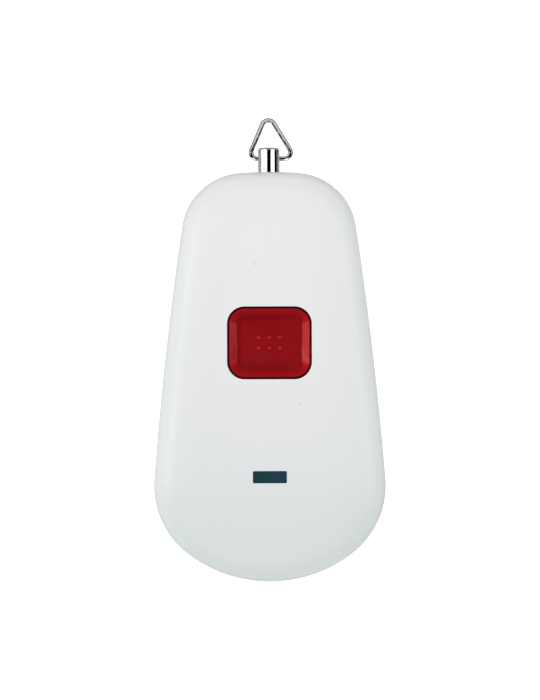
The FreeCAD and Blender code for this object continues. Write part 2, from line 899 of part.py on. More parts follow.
def controller_leads_group():
    """Two rows of short bent leads beside the controller."""
    leads = []
    x, y = controller_place
    half = controller_size[0] / 2
    for side in (-1, 1):
        for index in range(controller_leads):
            lead_y = y + (index - (controller_leads - 1) / 2) * controller_lead_pitch
            foot_size = (controller_lead_reach, controller_lead_width, controller_lead_sheet)
            foot_x = x + side * (half + controller_lead_reach / 2)
            foot = box_about(foot_x, lead_y, foot_size, board_top)
            rise_size = (controller_lead_sheet, controller_lead_width, controller_size[2] / 2)
            rise_x = x + side * (half + controller_lead_sheet / 2)
            rise = box_about(rise_x, lead_y, rise_size, board_top)
            leads.append(foot.fuse(rise).removeSplitter())
    return Part.makeCompound(leads)


def crystal_can():
    """Timing crystal: a metal can with a raised lid."""
    width, length, height = crystal_size
    can = board_block(crystal_place, (width, length, height - crystal_lid_height))
    lid_size = (width - 2 * crystal_lid_inset, length - 2 * crystal_lid_inset, crystal_lid_height)
    lid = board_block(crystal_place, lid_size, height - crystal_lid_height)
    return fused([can, lid])


def status_lamp():
    """Light source under the window: a white block with a round bowl."""
    block = board_block((0, window_y), lamp_size)
    bowl = Part.makeCone(lamp_bowl_radius * 0.7, lamp_bowl_radius, lamp_bowl_depth,
                         Vector(0, window_y, lamp_top - lamp_bowl_depth))
    return block.cut(bowl)


def aerial_loop():
    """Stamped strip that stands on edge on three feet and bends round in a U."""
    y = board_end_y - aerial_back - aerial_arm
    low = board_top + aerial_lift
    high = low + aerial_height
    depth = 2 * aerial_arm
    outer = rounded_block(aerial_width, depth, aerial_corner, y, low, high)
    inner_size = (aerial_width - 2 * aerial_sheet, depth - 2 * aerial_sheet, aerial_corner - aerial_sheet)
    strip = outer.cut(rounded_block(*inner_size, y, low, high))
    strip = strip.cut(box_about(0, y - depth, (2 * aerial_width, 2 * depth, case_depth), 0))
    arm_x = (aerial_width - aerial_sheet) / 2
    bar_y = y + (depth - aerial_sheet) / 2
    feet = [box_about(0, bar_y, (aerial_foot, aerial_sheet, aerial_lift), board_top)]
    for x in (-arm_x, arm_x):
        feet.append(box_about(x, y + aerial_foot / 2, (aerial_sheet, aerial_foot, aerial_lift), board_top))
    return fused([strip] + feet)


def chip_group(places, size):
    """Several small chips of one size on the board."""
    return Part.makeCompound([board_block(place, size) for place in places])


def casing_screws():
    """The four screws that hold the shells together."""
    return Part.makeCompound([screw(x, y) for x, y in boss_places()])


pieces = {
    "front_cover": front_cover,
    "rear_cover": rear_cover,
    "red_key": red_key,
    "key_mat": key_mat,
    "window_lens": window_lens,
    "circuit_board": circuit_board,
    "casing_screws": casing_screws,
    "swivel_post": swivel_post,
    "cord_ring": cord_ring,
    "switch_base": switch_base,
    "switch_cover": switch_cover,
    "switch_plunger": switch_plunger,
    "switch_dome": switch_dome,
    "switch_leads": switch_leads,
    "coin_cell": coin_cell,
    "cell_contact": cell_contact,
    "cell_clip": cell_clip,
    "radio_chip": radio_chip,
    "controller_chip": controller_chip,
    "controller_leads": controller_leads_group,
    "crystal_can": crystal_can,
    "status_lamp": status_lamp,
    "aerial_loop": aerial_loop,
    "capacitors": lambda: chip_group(capacitor_places, capacitor_size),
    "resistors": lambda: chip_group(resistor_places, resistor_size),
}

os.makedirs("parts", exist_ok=True)
for name, make in pieces.items():
    shape = make()
    shape.exportStep("parts/" + name + ".step")
    solids = len(shape.Solids)
    print(name, solids, "solids", round(shape.Volume, 1), "mm3", "valid" if shape.isValid() else "NOT VALID")
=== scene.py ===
import math

import bmesh
import bpy
import numpy as np
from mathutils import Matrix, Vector


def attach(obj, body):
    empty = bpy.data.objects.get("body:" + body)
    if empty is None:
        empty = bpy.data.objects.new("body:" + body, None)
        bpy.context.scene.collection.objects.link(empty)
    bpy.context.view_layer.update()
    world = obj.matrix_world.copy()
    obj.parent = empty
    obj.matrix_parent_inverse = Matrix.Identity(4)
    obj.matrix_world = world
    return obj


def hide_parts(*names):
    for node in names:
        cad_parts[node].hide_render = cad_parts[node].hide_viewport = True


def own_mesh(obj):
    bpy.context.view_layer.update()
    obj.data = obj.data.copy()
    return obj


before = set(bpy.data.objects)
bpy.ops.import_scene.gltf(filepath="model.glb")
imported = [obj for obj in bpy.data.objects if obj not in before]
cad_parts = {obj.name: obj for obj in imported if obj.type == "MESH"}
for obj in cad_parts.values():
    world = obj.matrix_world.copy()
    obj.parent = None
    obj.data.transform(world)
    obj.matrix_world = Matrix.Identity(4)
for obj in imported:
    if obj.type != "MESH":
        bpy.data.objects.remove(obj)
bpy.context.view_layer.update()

MM = 0.001


def grow(size, by):
    """A rectangle's (width, length, corner) with a margin added all round."""
    return (size[0] + 2 * by, size[1] + 2 * by, size[2] + by)


# Case outline and section, as the moulded shells have them.
CASE_WIDTH = 40.0 * MM
CASE_LENGTH = 70.7 * MM
CASE_DEPTH = 15.0 * MM
SHOULDER_WIDTH = 30.25 * MM
SHOULDER_RADIUS = 10.8 * MM
HIP_RADIUS = 14.75 * MM
CHIN_RADIUS = CASE_WIDTH / 2 + 3.25 * MM
BROW_RADIUS = 70.0 * MM
FLANK_RADIUS = 640.0 * MM
FRONT_EDGE_RADIUS = 4.5 * MM
CROWN_RADIUS = 28.0 * MM
CROWN_SLOPE = math.radians(11.0)
REAR_EDGE_RADIUS = 2.4 * MM
WALL = 1.6 * MM
SEAM_HEIGHT = 7.2 * MM
SEAM_GROOVE = 0.2 * MM
SEAM_HALF_GAP = 0.12 * MM
SEAM_LEAD = 0.04 * MM
LIP_HEIGHT = 1.2 * MM
LIP_GAP = 0.1 * MM
CROWN_START = FRONT_EDGE_RADIUS + (CROWN_RADIUS - FRONT_EDGE_RADIUS) * math.sin(CROWN_SLOPE)
CROWN_CENTRE_HEIGHT = CASE_DEPTH - CROWN_RADIUS
EDGE_CENTRE_HEIGHT = CROWN_CENTRE_HEIGHT + (CROWN_RADIUS - FRONT_EDGE_RADIUS) * math.cos(CROWN_SLOPE)
TOP_END = CASE_LENGTH / 2

# Key, its opening and its well.
KEY_Y = 5.85 * MM
OPENING = (14.35 * MM, 12.3 * MM, 2.9 * MM)
OPENING_EDGE = 0.22 * MM
KEY = grow(OPENING, -0.25 * MM)
KEY_FLANGE = grow(KEY, 1.0 * MM)
KEY_HOLLOW = grow(KEY, -1.1 * MM)
KEY_RIM_HEIGHT = CASE_DEPTH - 0.08 * MM
KEY_RIM_EDGE = 0.07 * MM
KEY_RIM_LAND = 0.12 * MM
DISH_DEPTH = 0.85 * MM
DISH_LEVEL = KEY_RIM_HEIGHT - DISH_DEPTH
DISH_BASE = (KEY[0] - 2.68 * MM, KEY[1] - 2.74 * MM, 1.5 * MM)
DISH_ROLL = 55.0 * MM
KEY_ROOF = 1.1 * MM
FLANGE_TOP = 12.95 * MM
FLANGE_LOW = 12.05 * MM
STOP_HEIGHT = 13.0 * MM
WELL_HOLLOW = grow(KEY_FLANGE, 0.25 * MM)
WELL = grow(WELL_HOLLOW, 1.2 * MM)
MAT_FOOT = grow(WELL, -0.25 * MM)
WELL_LOW = 7.8 * MM
DOT_PITCH = (1.85 * MM, 1.8 * MM)
DOT_RADIUS = 0.52 * MM
DOT_HEIGHT = 0.28 * MM

# Window over the status light.
WINDOW_Y = -17.2 * MM
WINDOW = (5.85 * MM, 2.1 * MM, 0.25 * MM)
WINDOW_GAP = 0.04 * MM
WINDOW_TOP = CASE_DEPTH - 0.12 * MM
WINDOW_EDGE = 0.14 * MM
WINDOW_SEAT = CASE_DEPTH - WALL - 0.35 * MM

# Post, ring and screws.
POST_RADIUS = 1.85 * MM
POST_TOP = TOP_END + 4.3 * MM
POST_EDGE = 0.3 * MM
POST_BORE = POST_RADIUS + 0.06 * MM
CROSS_HOLE_RADIUS = 0.52 * MM
RING_AXIS_Y = TOP_END + 2.42 * MM
RING_WIRE = 0.425 * MM
RING_HALF = 3.425 * MM
RING_TOP = RING_AXIS_Y + 6.65 * MM
RING_CORNER = 1.1 * MM
RING_APEX = 1.15 * MM
RING_OFFSET = -0.4 * MM
RING_SHIFT = 0.35 * MM
RING_JOINT = 0.03 * MM
SCREW_RADIUS = 1.0 * MM
SCREW_HEAD_RADIUS = 1.9 * MM
SCREW_SEAT = 1.65 * MM
SCREW_WAY = 1.2 * MM
SINK_RADIUS = 2.1 * MM

# Inside of the case. The pocket holds the post's head: radius, start and end. The cradle round
# the cell is given by its two radii and its top, the clip's way by half its width and length
# and its top.
BOARD_LOW = 6.0 * MM
BOARD_TOP = 7.0 * MM
BOSS_RADIUS = 3.1 * MM
BOSS_NECK = 2.1 * MM
SADDLE_HALF = 4.12 * MM
SADDLE_START = 30.23 * MM
SADDLE_END = TOP_END - WALL / 2
POCKET = (2.82 * MM, 31.53 * MM, 33.05 * MM)
CELL_Y = -11.5 * MM
CRADLE = (10.5 * MM, 11.4 * MM, 4.6 * MM)
CLIP_WAY = (12.0 * MM, 4.8 * MM, 5.0 * MM)
DOME_LOW = 7.5 * MM

# Light on matt surfaces: three lamps in watts, a sky that is dimmer towards the top end, and the
# table, white to the camera, with a little light of its own up to where it dims.
TOP_POWER = 0.05
LEFT_POWER = 0.79
RIGHT_POWER = 0.43
SKY_LIGHT = 0.725
SKY_TINT = (0.89, 1.0, 0.981)
SKY_LOSS = 0.4
GROUND_GLOW = 0.6
GROUND_FILL = 0.5
DIM_FLOOR = (0.026, 0.034)

# What shiny surfaces mirror. The table, with a dark rectangle in metres. The sky, by the x, y and
# z of a ray's direction: a wall up to a height, dark on the right and near the viewer, and cards,
# each with ranges of x and y, how bright it is and how soft its edges are. Last, sheets near the
# ring: two opposite corners in metres and how bright each is, where 0 makes a black one.
GROUND_MIRRORED = 0.42
DARK_FLOOR = ((0.027, 1.0), (-0.1, 0.046))
WALL_GLOW = 0.5
WALL_TOP = (0.02, 0.08)
DARK_WALL = (0.9, 0.94)
NEAR_WALL = (-0.22, -0.12)
POST_BAND = (0.03, 0.055)
CARDS = (
    ((-1.0, -0.33), POST_BAND, 1.6, 0.002),
    ((0.35, 0.89), POST_BAND, 1.5, 0.002),
    ((-0.97, -0.6), (-0.2, 0.2), 0.66, 0.03),
    ((0.6, 0.89), (-0.2, 0.2), 0.46, 0.03),
    ((0.89, 0.97), (-0.2, 0.015), 0.46, 0.01),
)
SHEETS = (
    ((-0.03, 0.0408, 0.0165), (0.03, 0.065, 0.0165), 0.7),
    ((-0.0045, 0.0362, 0.0078), (-0.0026, 0.0362, 0.0135), 1.6),
    ((0.0026, 0.0362, 0.0078), (0.0045, 0.0362, 0.0135), 1.6),
    ((-0.0022, 0.0405, 0.0096), (-0.0012, 0.0405, 0.0122), 1.1),
    ((0.0007, 0.0405, 0.0096), (0.0016, 0.0405, 0.0122), 1.1),
    ((-0.0027, 0.0366, 0.0088), (-0.0019, 0.0388, 0.0088), 0.0),
    ((0.0019, 0.0366, 0.0088), (0.003, 0.0389, 0.0088), 0.0),
)

# Two specks on the white front: x, y and radius.
SPECKS = ((-2.5 * MM, 19.4 * MM, 0.16 * MM), (5.3 * MM, -4.6 * MM, 0.14 * MM))

# How finely round things are divided.
TURN_STEP = math.radians(1.6)
LONG_STEP = 2.5 * MM
CORNER_STEPS = 12
SIDE_STEPS = 10


def sums(operation, swapped=False):
    """A method that writes one kind of sum as a node."""
    def method(self, *others):
        return self.maths(operation, *((*others, self) if swapped else (self, *others)))

    return method


class Wire:
    """A node's output, on which sums can be written."""

    def __init__(self, tree, socket):
        self.tree = tree
        self.socket = socket

    def maths(self, operation, *values):
        named = dict(zip(("Value", "Value_001"), values))
        return self.tree.node("ShaderNodeMath", "Value", {"operation": operation}, **named)

    __add__ = sums("ADD")
    __radd__ = sums("ADD", swapped=True)
    __sub__ = sums("SUBTRACT")
    __rsub__ = sums("SUBTRACT", swapped=True)
    __mul__ = sums("MULTIPLY")
    __truediv__ = sums("DIVIDE")
    __pow__ = sums("POWER")
    __abs__ = sums("ABSOLUTE")
    __lt__ = sums("LESS_THAN")

    def ramp(self, low, high):
        """0 below low, 1 above high, and smooth between."""
        return self.tree.node(
            "ShaderNodeMapRange", "Result", {"interpolation_type": "SMOOTHSTEP"},
            Value=self, From_Min=low, From_Max=high,
        )


class Tree:
    """Adds nodes to one shader or geometry tree."""

    def __init__(self, tree):
        self.tree = tree
        self.place = None

    def node(self, kind, output=None, settings=None, **values):
        """A new node, or the wire from one of its outputs, with its settings and inputs filled in."""
        made = self.tree.nodes.new(kind)
        for key, value in (settings or {}).items():
            setattr(made, key, value)
        for key, value in values.items():
            self.feed(self.find(made.inputs, key), value)
        return made if output is None else Wire(self, self.find(made.outputs, output))

    def find(self, sockets, key):
        """The socket with an identifier, or else with a name, where _ stands for a space."""
        by_identifier = [s for s in sockets if s.identifier == key]
        by_name = [s for s in sockets if s.name == key.replace("_", " ") and s.enabled]
        return (by_identifier or by_name)[0]

    def feed(self, socket, value):
        """Links a wire to a socket, or sets the socket's own value."""
        if isinstance(value, Wire):
            self.tree.links.new(value.socket, socket)
        else:
            socket.default_value = value

    def axis(self, name):
        """One coordinate of the place on the object, in metres, or of a ray's direction."""
        if self.place is None:
            self.place = self.node("ShaderNodeTexCoord", "Object")
        return self.node("ShaderNodeSeparateXYZ", name, Vector=self.place)

    def blend(self, factor, first, second):
        """Goes from the first colour to the second."""
        colours = [value if isinstance(value, Wire) else (*value, 1.0) for value in (first, second)]
        return self.node(
            "ShaderNodeMix", "Result_Color", {"data_type": "RGBA"},
            Factor_Float=factor, A_Color=colours[0], B_Color=colours[1],
        )


class Paint(Tree):
    """One material, whose surface is a single principled shader."""

    def __init__(self, name, colour, **finish):
        self.material = bpy.data.materials.new(name)
        self.material.use_nodes = True
        super().__init__(self.material.node_tree)
        self.surface = self.tree.nodes["Principled BSDF"]
        self.set(Base_Color=(*colour, 1.0), **finish)
        self.place = self.node("ShaderNodeTexCoord", "Object")

    def set(self, **values):
        for key, value in values.items():
            self.feed(self.find(self.surface.inputs, key), value)

    def box_distance(self, size, y):
        """How far outside a rounded box of the plan a place lies."""
        width, height, corner = size
        past_x = abs(self.axis("X")) - (width / 2 - corner)
        past_y = abs(self.axis("Y") - y) - (height / 2 - corner)
        squares = past_x.maths("MAXIMUM", past_x, 0.0) ** 2 + past_y.maths("MAXIMUM", past_y, 0.0) ** 2
        return squares ** 0.5 - corner

    def noise(self, scale, detail=2.0, stretch=None):
        place = self.place
        if stretch:
            place = self.node("ShaderNodeMapping", "Vector", Vector=place, Scale=stretch)
        return self.node(
            "ShaderNodeTexNoise", "Fac", {"noise_dimensions": "3D"},
            Vector=place, Scale=scale, Detail=detail,
        )

    def finished(self, colour, roughness, *layers):
        """The material, with its colour, roughness and layers of (relief from 0 to 1, depth)."""
        normal = None
        for height, depth in layers:
            values = {"Height": height, "Strength": 1.0, "Distance": depth}
            if normal:
                values["Normal"] = normal
            normal = self.node("ShaderNodeBump", "Normal", **values)
        self.set(Base_Color=colour, Roughness=roughness, Normal=normal)
        return self.material


def glossy_white():
    """Moulded white plastic: a fine texture and two specks, with painted shade on the lower part and in the
    key's opening.
    """
    paint = Paint("glossy_white", (0.80, 0.80, 0.80), IOR=1.5, Coat_Weight=0.25, Coat_Roughness=0.12)
    cloud = paint.noise(60.0, 3.0)
    tone = paint.blend(cloud.ramp(0.3, 0.7), (0.797, 0.798, 0.80), (0.805, 0.804, 0.804))
    # Painted shade: a band towards the bottom end, darker and a little greener, for the light falling off
    # there.
    along = paint.axis("Y")
    painted_low_shade = (1 - along.ramp(-24.0 * MM, -12.0 * MM)) * along.ramp(-35.0 * MM, -26.0 * MM)
    tone = paint.blend(painted_low_shade, tone, (0.768, 0.788, 0.774))
    front = 1 - (paint.axis("Z") < CASE_DEPTH - WALL)
    spots = []
    for x, y, radius in SPECKS:
        apart = (paint.axis("X") - x) ** 2 + (paint.axis("Y") - y) ** 2
        spots.append((apart < radius ** 2) * front)
    tone = paint.blend((spots[0] + spots[1]) * 0.35, tone, (0.30, 0.29, 0.27))
    # Painted shade: the opening's wall and a hair past its edge, dark as the shadow in the gap round the key.
    above_seam = 1 - (paint.axis("Z") < SEAM_HEIGHT)
    wall = (paint.box_distance(grow(OPENING, 0.1 * MM), KEY_Y) < 0.0) * above_seam
    tone = paint.blend(wall, tone, (0.03, 0.012, 0.012))
    relief = (paint.noise(2600.0), 0.0025 * MM), (paint.noise(150.0, 1.0), 0.001 * MM)
    return paint.finished(tone, 0.25 + paint.noise(90.0) * 0.03, *relief)


def tinted_red():
    """Polished red key with a breath of moulding flow, painted light on the side slopes and dots, and painted
    shade at the dish's fold and border.
    """
    paint = Paint("tinted_red", (0.27, 0.005, 0.008), IOR=1.46)
    paint.set(Subsurface_Weight=0.12, Subsurface_Scale=0.8 * MM)
    flow = paint.noise(120.0, 3.0, stretch=(1.0, 0.4, 1.0))
    body = paint.blend(flow.ramp(0.3, 0.7), (0.255, 0.0035, 0.006), (0.275, 0.0045, 0.0075))
    across = paint.axis("X")
    # Painted light: the key's side slopes, lighter towards the right.
    side = paint.blend(across.ramp(-5.0 * MM, 5.0 * MM), (0.35, 0.006, 0.010), (0.47, 0.008, 0.012))
    edge = paint.box_distance(DISH_BASE, KEY_Y)
    # Painted shade: the dish's floor darker along its fold, but not on the right.
    painted_fold_shade = edge.ramp(-1.4 * MM, 0.0) * (1.0 - across.ramp(2.0 * MM, 4.5 * MM))
    body = paint.blend(painted_fold_shade, body, (0.2, 0.0036, 0.0062))
    # Painted shade: the border darker where it meets the dish and lighter towards the rim.
    border = paint.blend(edge.ramp(0.0, 1.2 * MM), (0.242, 0.0045, 0.007), (0.32, 0.006, 0.0095))
    half = DISH_BASE[0] / 2
    # The painted light of the side slopes holds along the flanks and fades towards the corners.
    corners = abs(paint.axis("Y") - KEY_Y).ramp(3.2 * MM, 5.2 * MM)
    flank = abs(across).ramp(half, half + 0.2 * MM) * (1.0 - corners)
    border = paint.blend(flank, border, side)
    body = paint.blend(edge.ramp(-0.1 * MM, 0.1 * MM), body, border)
    # Painted light: the dots lighter than the dish's floor.
    painted_dot_light = paint.axis("Z").ramp(DISH_LEVEL + 0.1 * MM, DISH_LEVEL + 0.2 * MM)
    middle = paint.box_distance((6.0 * MM, 4.0 * MM, 0.5 * MM), KEY_Y) < 0.0
    body = paint.blend(painted_dot_light * middle, body, (0.42, 0.009, 0.016))
    roughness = 0.1 + paint.noise(300.0, 3.0).ramp(0.4, 0.8) * 0.05
    return paint.finished(body, roughness, (paint.noise(2200.0), 0.003 * MM))


def smoked_window():
    """Dark polished window, greener at its left end and bluer at its right."""
    paint = Paint("smoked_window", (0.012, 0.035, 0.048), IOR=1.5, Coat_Weight=0.7, Coat_Roughness=0.05)
    across = paint.axis("X") / (WINDOW[0] / 2)
    tone = paint.blend(across.ramp(-1.0, 1.0), (0.0105, 0.050, 0.049), (0.016, 0.049, 0.086))
    return paint.finished(tone, 0.14 + paint.noise(500.0) * 0.08, (paint.noise(1500.0), 0.002 * MM))


def bright_plate(name, grey, stretch):
    """Polished nickel with faint turning or drawing lines."""
    paint = Paint(name, (grey, grey, grey * 0.96), Metallic=1.0)
    cloud = paint.noise(400.0)
    dull, clear = grey * 0.97, grey * 1.03
    tone = paint.blend(cloud, (dull, dull, dull * 0.96), (clear, clear, clear * 0.97))
    relief = (paint.noise(900.0, stretch=stretch), 0.0001 * MM)
    return paint.finished(tone, 0.05 + cloud.ramp(0.5, 0.8) * 0.04, relief)


def plain_metal(name, colour, roughness=0.3, stretch=(1.0, 12.0, 1.0)):
    """Sheet or plated metal with fine lines one way and dull patches."""
    paint = Paint(name, colour, Metallic=1.0)
    lines = paint.noise(700.0, 3.0, stretch=stretch)
    dull = tuple(channel * 0.82 for channel in colour)
    tone = paint.blend(paint.noise(260.0, 3.0).ramp(0.4, 0.75), colour, dull)
    return paint.finished(tone, roughness + lines * 0.12, (lines, 0.002 * MM))


def moulded(name, colour, roughness=0.5, grain=1800.0):
    """Matte moulded plastic or rubber with a fine even grain."""
    paint = Paint(name, colour)
    grains = paint.noise(grain, 3.0)
    lighter = tuple(min(1.0, channel * 1.15 + 0.004) for channel in colour)
    tone = paint.blend(grains.ramp(0.35, 0.75), colour, lighter)
    return paint.finished(tone, roughness + grains * 0.1, (grains, 0.006 * MM))


def solder_mask():
    """Green board with lighter copper tracks under the mask and a fine weave."""
    paint = Paint("solder_mask", (0.02, 0.16, 0.06), IOR=1.5, Coat_Weight=0.4, Coat_Roughness=0.2)
    grid = paint.node(
        "ShaderNodeTexBrick", "Fac", {"offset": 0.35, "squash": 1.0},
        Vector=paint.place, Scale=420.0, Mortar_Size=0.012, Brick_Width=1.4, Row_Height=0.55,
    )
    tracks = paint.blend(grid, (0.016, 0.13, 0.05), (0.035, 0.24, 0.09))
    weave = paint.noise(3000.0, 1.0, stretch=(1.0, 6.0, 1.0))
    return paint.finished(tracks, 0.35 + weave * 0.15, (grid, 0.03 * MM), (weave, 0.004 * MM))


def ceramic(name, colour):
    """Small ceramic chips with a fine speckle."""
    paint = Paint(name, colour)
    grains = paint.noise(4000.0)
    lighter = tuple(min(1.0, channel * 1.2 + 0.01) for channel in colour)
    return paint.finished(paint.blend(grains, colour, lighter), 0.35 + grains * 0.2, (grains, 0.004 * MM))


def rim_arcs():
    """The case's outline as (centre, radius, start angle, end angle), clockwise from the top."""
    brow = np.array([0.0, TOP_END - BROW_RADIUS])
    chin = np.array([0.0, -TOP_END + CHIN_RADIUS])
    shoulder_x = SHOULDER_WIDTH / 2 - SHOULDER_RADIUS
    rise = math.sqrt((BROW_RADIUS - SHOULDER_RADIUS) ** 2 - shoulder_x ** 2)
    shoulder = np.array([shoulder_x, brow[1] + rise])
    hip_x = CASE_WIDTH / 2 - HIP_RADIUS
    drop = math.sqrt((CHIN_RADIUS - HIP_RADIUS) ** 2 - hip_x ** 2)
    hip = np.array([hip_x, chin[1] - drop])
    near, far = FLANK_RADIUS - SHOULDER_RADIUS, FLANK_RADIUS - HIP_RADIUS
    span = hip - shoulder
    distance = float(np.hypot(*span))
    along = (near ** 2 - far ** 2 + distance ** 2) / (2 * distance)
    aside = math.sqrt(near ** 2 - along ** 2)
    unit = span / distance
    foot = shoulder + unit * along
    options = [foot + np.array([-unit[1], unit[0]]) * side * aside for side in (-1, 1)]
    flank = min(options, key=lambda point: point[0])

    def heading(start, end):
        return math.atan2(end[1] - start[1], end[0] - start[0])

    top = heading(brow, shoulder)
    side = heading(flank, shoulder)
    low = heading(flank, hip)
    base = heading(chin, hip)
    right = [
        (shoulder, SHOULDER_RADIUS, top, side),
        (flank, FLANK_RADIUS, side, low),
        (hip, HIP_RADIUS, low, base),
    ]
    flip = np.array([-1.0, 1.0])
    left = [(c * flip, r, math.pi - end, math.pi - start) for c, r, start, end in reversed(right)]
    start = [(brow, BROW_RADIUS, math.pi - top, top)]
    end = [(chin, CHIN_RADIUS, base, -math.pi - base)]
    return start + right + end + left


def rim_samples():
    """Points of the outline and the directions that point out of it."""
    points, normals = [], []
    for centre, radius, start, end in rim_arcs():
        turn = abs(end - start)
        steps = max(2, math.ceil(turn / TURN_STEP), math.ceil(turn * radius / LONG_STEP))
        for index in range(steps):
            angle = start + (end - start) * index / steps
            outward = np.array([math.cos(angle), math.sin(angle)])
            points.append(centre + outward * radius)
            normals.append(outward)
    return np.array(points), np.array(normals)


RIM_POINTS, RIM_NORMALS = rim_samples()


def bow(inset, height, radius, first, last, steps):
    """Section points of an arc: (inset, height) pairs between two angles above the horizontal."""
    angles = [first + (last - first) * index / steps for index in range(steps + 1)]
    return [(inset - radius * math.cos(a), height + radius * math.sin(a)) for a in angles]


def skin_section(depth):
    """Section of the front skin from the flank up to the flat, drawn in by a depth."""
    crest = math.pi / 2 - CROWN_SLOPE
    edge = bow(FRONT_EDGE_RADIUS, EDGE_CENTRE_HEIGHT, FRONT_EDGE_RADIUS - depth, 0.0, crest, 18)
    crown = bow(CROWN_START, CROWN_CENTRE_HEIGHT, CROWN_RADIUS - depth, crest, math.pi / 2, 8)
    return edge + crown[1:]


def closed_mesh(name, rings, capped=True):
    """A mesh through rings of equally many points, with faces over the first and last one."""
    mesh = bpy.data.meshes.new(name)
    count = len(rings[0])
    vertices = [tuple(point) for ring in rings for point in ring]
    faces = []
    for level in range(len(rings) - 1):
        for index in range(count):
            after = (index + 1) % count
            a, b = level * count, (level + 1) * count
            faces.append((a + index, a + after, b + after, b + index))
    if capped:
        last = (len(rings) - 1) * count
        faces.append(tuple(reversed(range(count))))
        faces.append(tuple(range(last, last + count)))
    mesh.from_pydata(vertices, [], faces)
    return tidy_mesh(mesh)


def tidy_mesh(mesh):
    """Merges doubled points and turns every face outwards."""
    bm = bmesh.new()
    bm.from_mesh(mesh)
    bmesh.ops.remove_doubles(bm, verts=bm.verts, dist=1e-8)
    bmesh.ops.recalc_face_normals(bm, faces=bm.faces)
    bm.to_mesh(mesh)
    bm.free()
    return mesh


def rim_ring(inset, height):
    """The outline drawn in by an inset, at a height."""
    flat = RIM_POINTS - RIM_NORMALS * inset
    return [(x, y, height) for x, y in flat]


def box_ring(size, y, height):
    """A rectangle with round corners about a point of the middle plane."""
    width, length, corner = size
    points = []
    centres = ((1, 1, 0), (-1, 1, 90), (-1, -1, 180), (1, -1, 270))
    for index, (side_x, side_y, start) in enumerate(centres):
        cx = side_x * (width / 2 - corner)
        cy = side_y * (length / 2 - corner)
        for step in range(CORNER_STEPS + 1):
            angle = math.radians(start + 90 * step / CORNER_STEPS)
            points.append((cx + corner * math.cos(angle), cy + corner * math.sin(angle)))
        next_x, next_y, next_start = centres[(index + 1) % 4]
        angle = math.radians(next_start)
        end = (
            next_x * (width / 2 - corner) + corner * math.cos(angle),
            next_y * (length / 2 - corner) + corner * math.sin(angle),
        )
        here = points[-1]
        for step in range(1, SIDE_STEPS):
            share = step / SIDE_STEPS
            points.append((here[0] + (end[0] - here[0]) * share, here[1] + (end[1] - here[1]) * share))
    return [(px, y + py, height) for px, py in points]


def round_ring(x, y, radius, height, steps=48):
    """A circle about a place."""
    angles = [2 * math.pi * index / steps for index in range(steps)]
    return [(x + radius * math.cos(a), y + radius * math.sin(a), height) for a in angles]


def quarter(radius, steps):
    """A rounded edge in steps: how far it has drawn in, and how far below the top it is."""
    angles = [math.pi / 2 * step / steps for step in range(steps + 1)]
    return [(radius * (1 - math.cos(a)), radius * (1 - math.sin(a))) for a in angles]


def block_mesh(size, y, low, high):
    """An upright block with round corners."""
    return closed_mesh("block", [box_ring(size, y, low), box_ring(size, y, high)])


def upright_mesh(x, y, levels, steps=48, capped=True):
    """An upright turning through (radius, height) pairs."""
    return closed_mesh("upright", [round_ring(x, y, *level, steps) for level in levels], capped)


def brick_mesh(low, high, narrowing=1.0):
    """A plain block between two corners. Its top can be narrowed about the origin."""
    (x0, y0, z0), (x1, y1, z1) = low, high
    bottom = [(x0, y0), (x1, y0), (x1, y1), (x0, y1)]
    rings = [[(x * share, y * share, z) for x, y in bottom] for z, share in ((z0, 1.0), (z1, narrowing))]
    return closed_mesh("brick", rings)


def lathe_mesh(profile, axis_height, steps=72):
    """A turning about the line along Y at a height, from (radius, y) pairs."""
    rings = [round_ring(axis_height, 0.0, radius, y, steps) for radius, y in profile]
    return closed_mesh("turning", [[(x, y, z) for z, x, y in ring] for ring in rings])


def new_object(name, data):
    """An object in the scene with a mesh, lamp or camera in it."""
    made = bpy.data.objects.new(name, data)
    bpy.context.scene.collection.objects.link(made)
    return made


def solid(name, rings, capped=True):
    """An object with the mesh through some rings."""
    return new_object(name, closed_mesh(name, rings, capped))


def baked(piece):
    """Turns a piece's modifiers into plain mesh."""
    bpy.context.view_layer.update()
    ready = piece.evaluated_get(bpy.context.evaluated_depsgraph_get())
    mesh = bpy.data.meshes.new_from_object(ready)
    piece.modifiers.clear()
    old = piece.data
    piece.data = mesh
    mesh.name = piece.name
    bpy.data.meshes.remove(old)
    return piece


def joined(piece, operation, meshes):
    """Unites a piece with some closed meshes, or cuts them out of it."""
    for mesh in meshes:
        tool = new_object("tool", mesh)
        step = piece.modifiers.new("step", "BOOLEAN")
        step.operation = operation
        step.solver = "EXACT"
        step.object = tool
        baked(piece)
        bpy.data.objects.remove(tool)
        bpy.data.meshes.remove(mesh)


def smoothed(piece, angle=30.0):
    """Shades a piece smooth, with crisp lines where faces meet at more than an angle."""
    mesh = piece.data
    bm = bmesh.new()
    bm.from_mesh(mesh)
    bmesh.ops.remove_doubles(bm, verts=bm.verts, dist=2e-7)
    bmesh.ops.dissolve_degenerate(bm, edges=bm.edges, dist=2e-7)
    limit = math.radians(angle)
    for edge in bm.edges:
        edge.smooth = len(edge.link_faces) == 2 and edge.calc_face_angle(0.0) < limit
    for face in bm.faces:
        face.smooth = True
    bm.to_mesh(mesh)
    bm.free()
    weight = piece.modifiers.new("flat faces stay flat", "WEIGHTED_NORMAL")
    weight.keep_sharp = True
    weight.mode = "FACE_AREA"
    return baked(piece)


def dress(piece, body, slot, material, *nodes):
    """Gives a piece its material and body, and hides the CAD nodes that it stands for. The slot is not used."""
    piece.data.materials.clear()
    piece.data.materials.append(material)
    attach(piece, body)
    if nodes:
        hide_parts(*nodes)
    return piece


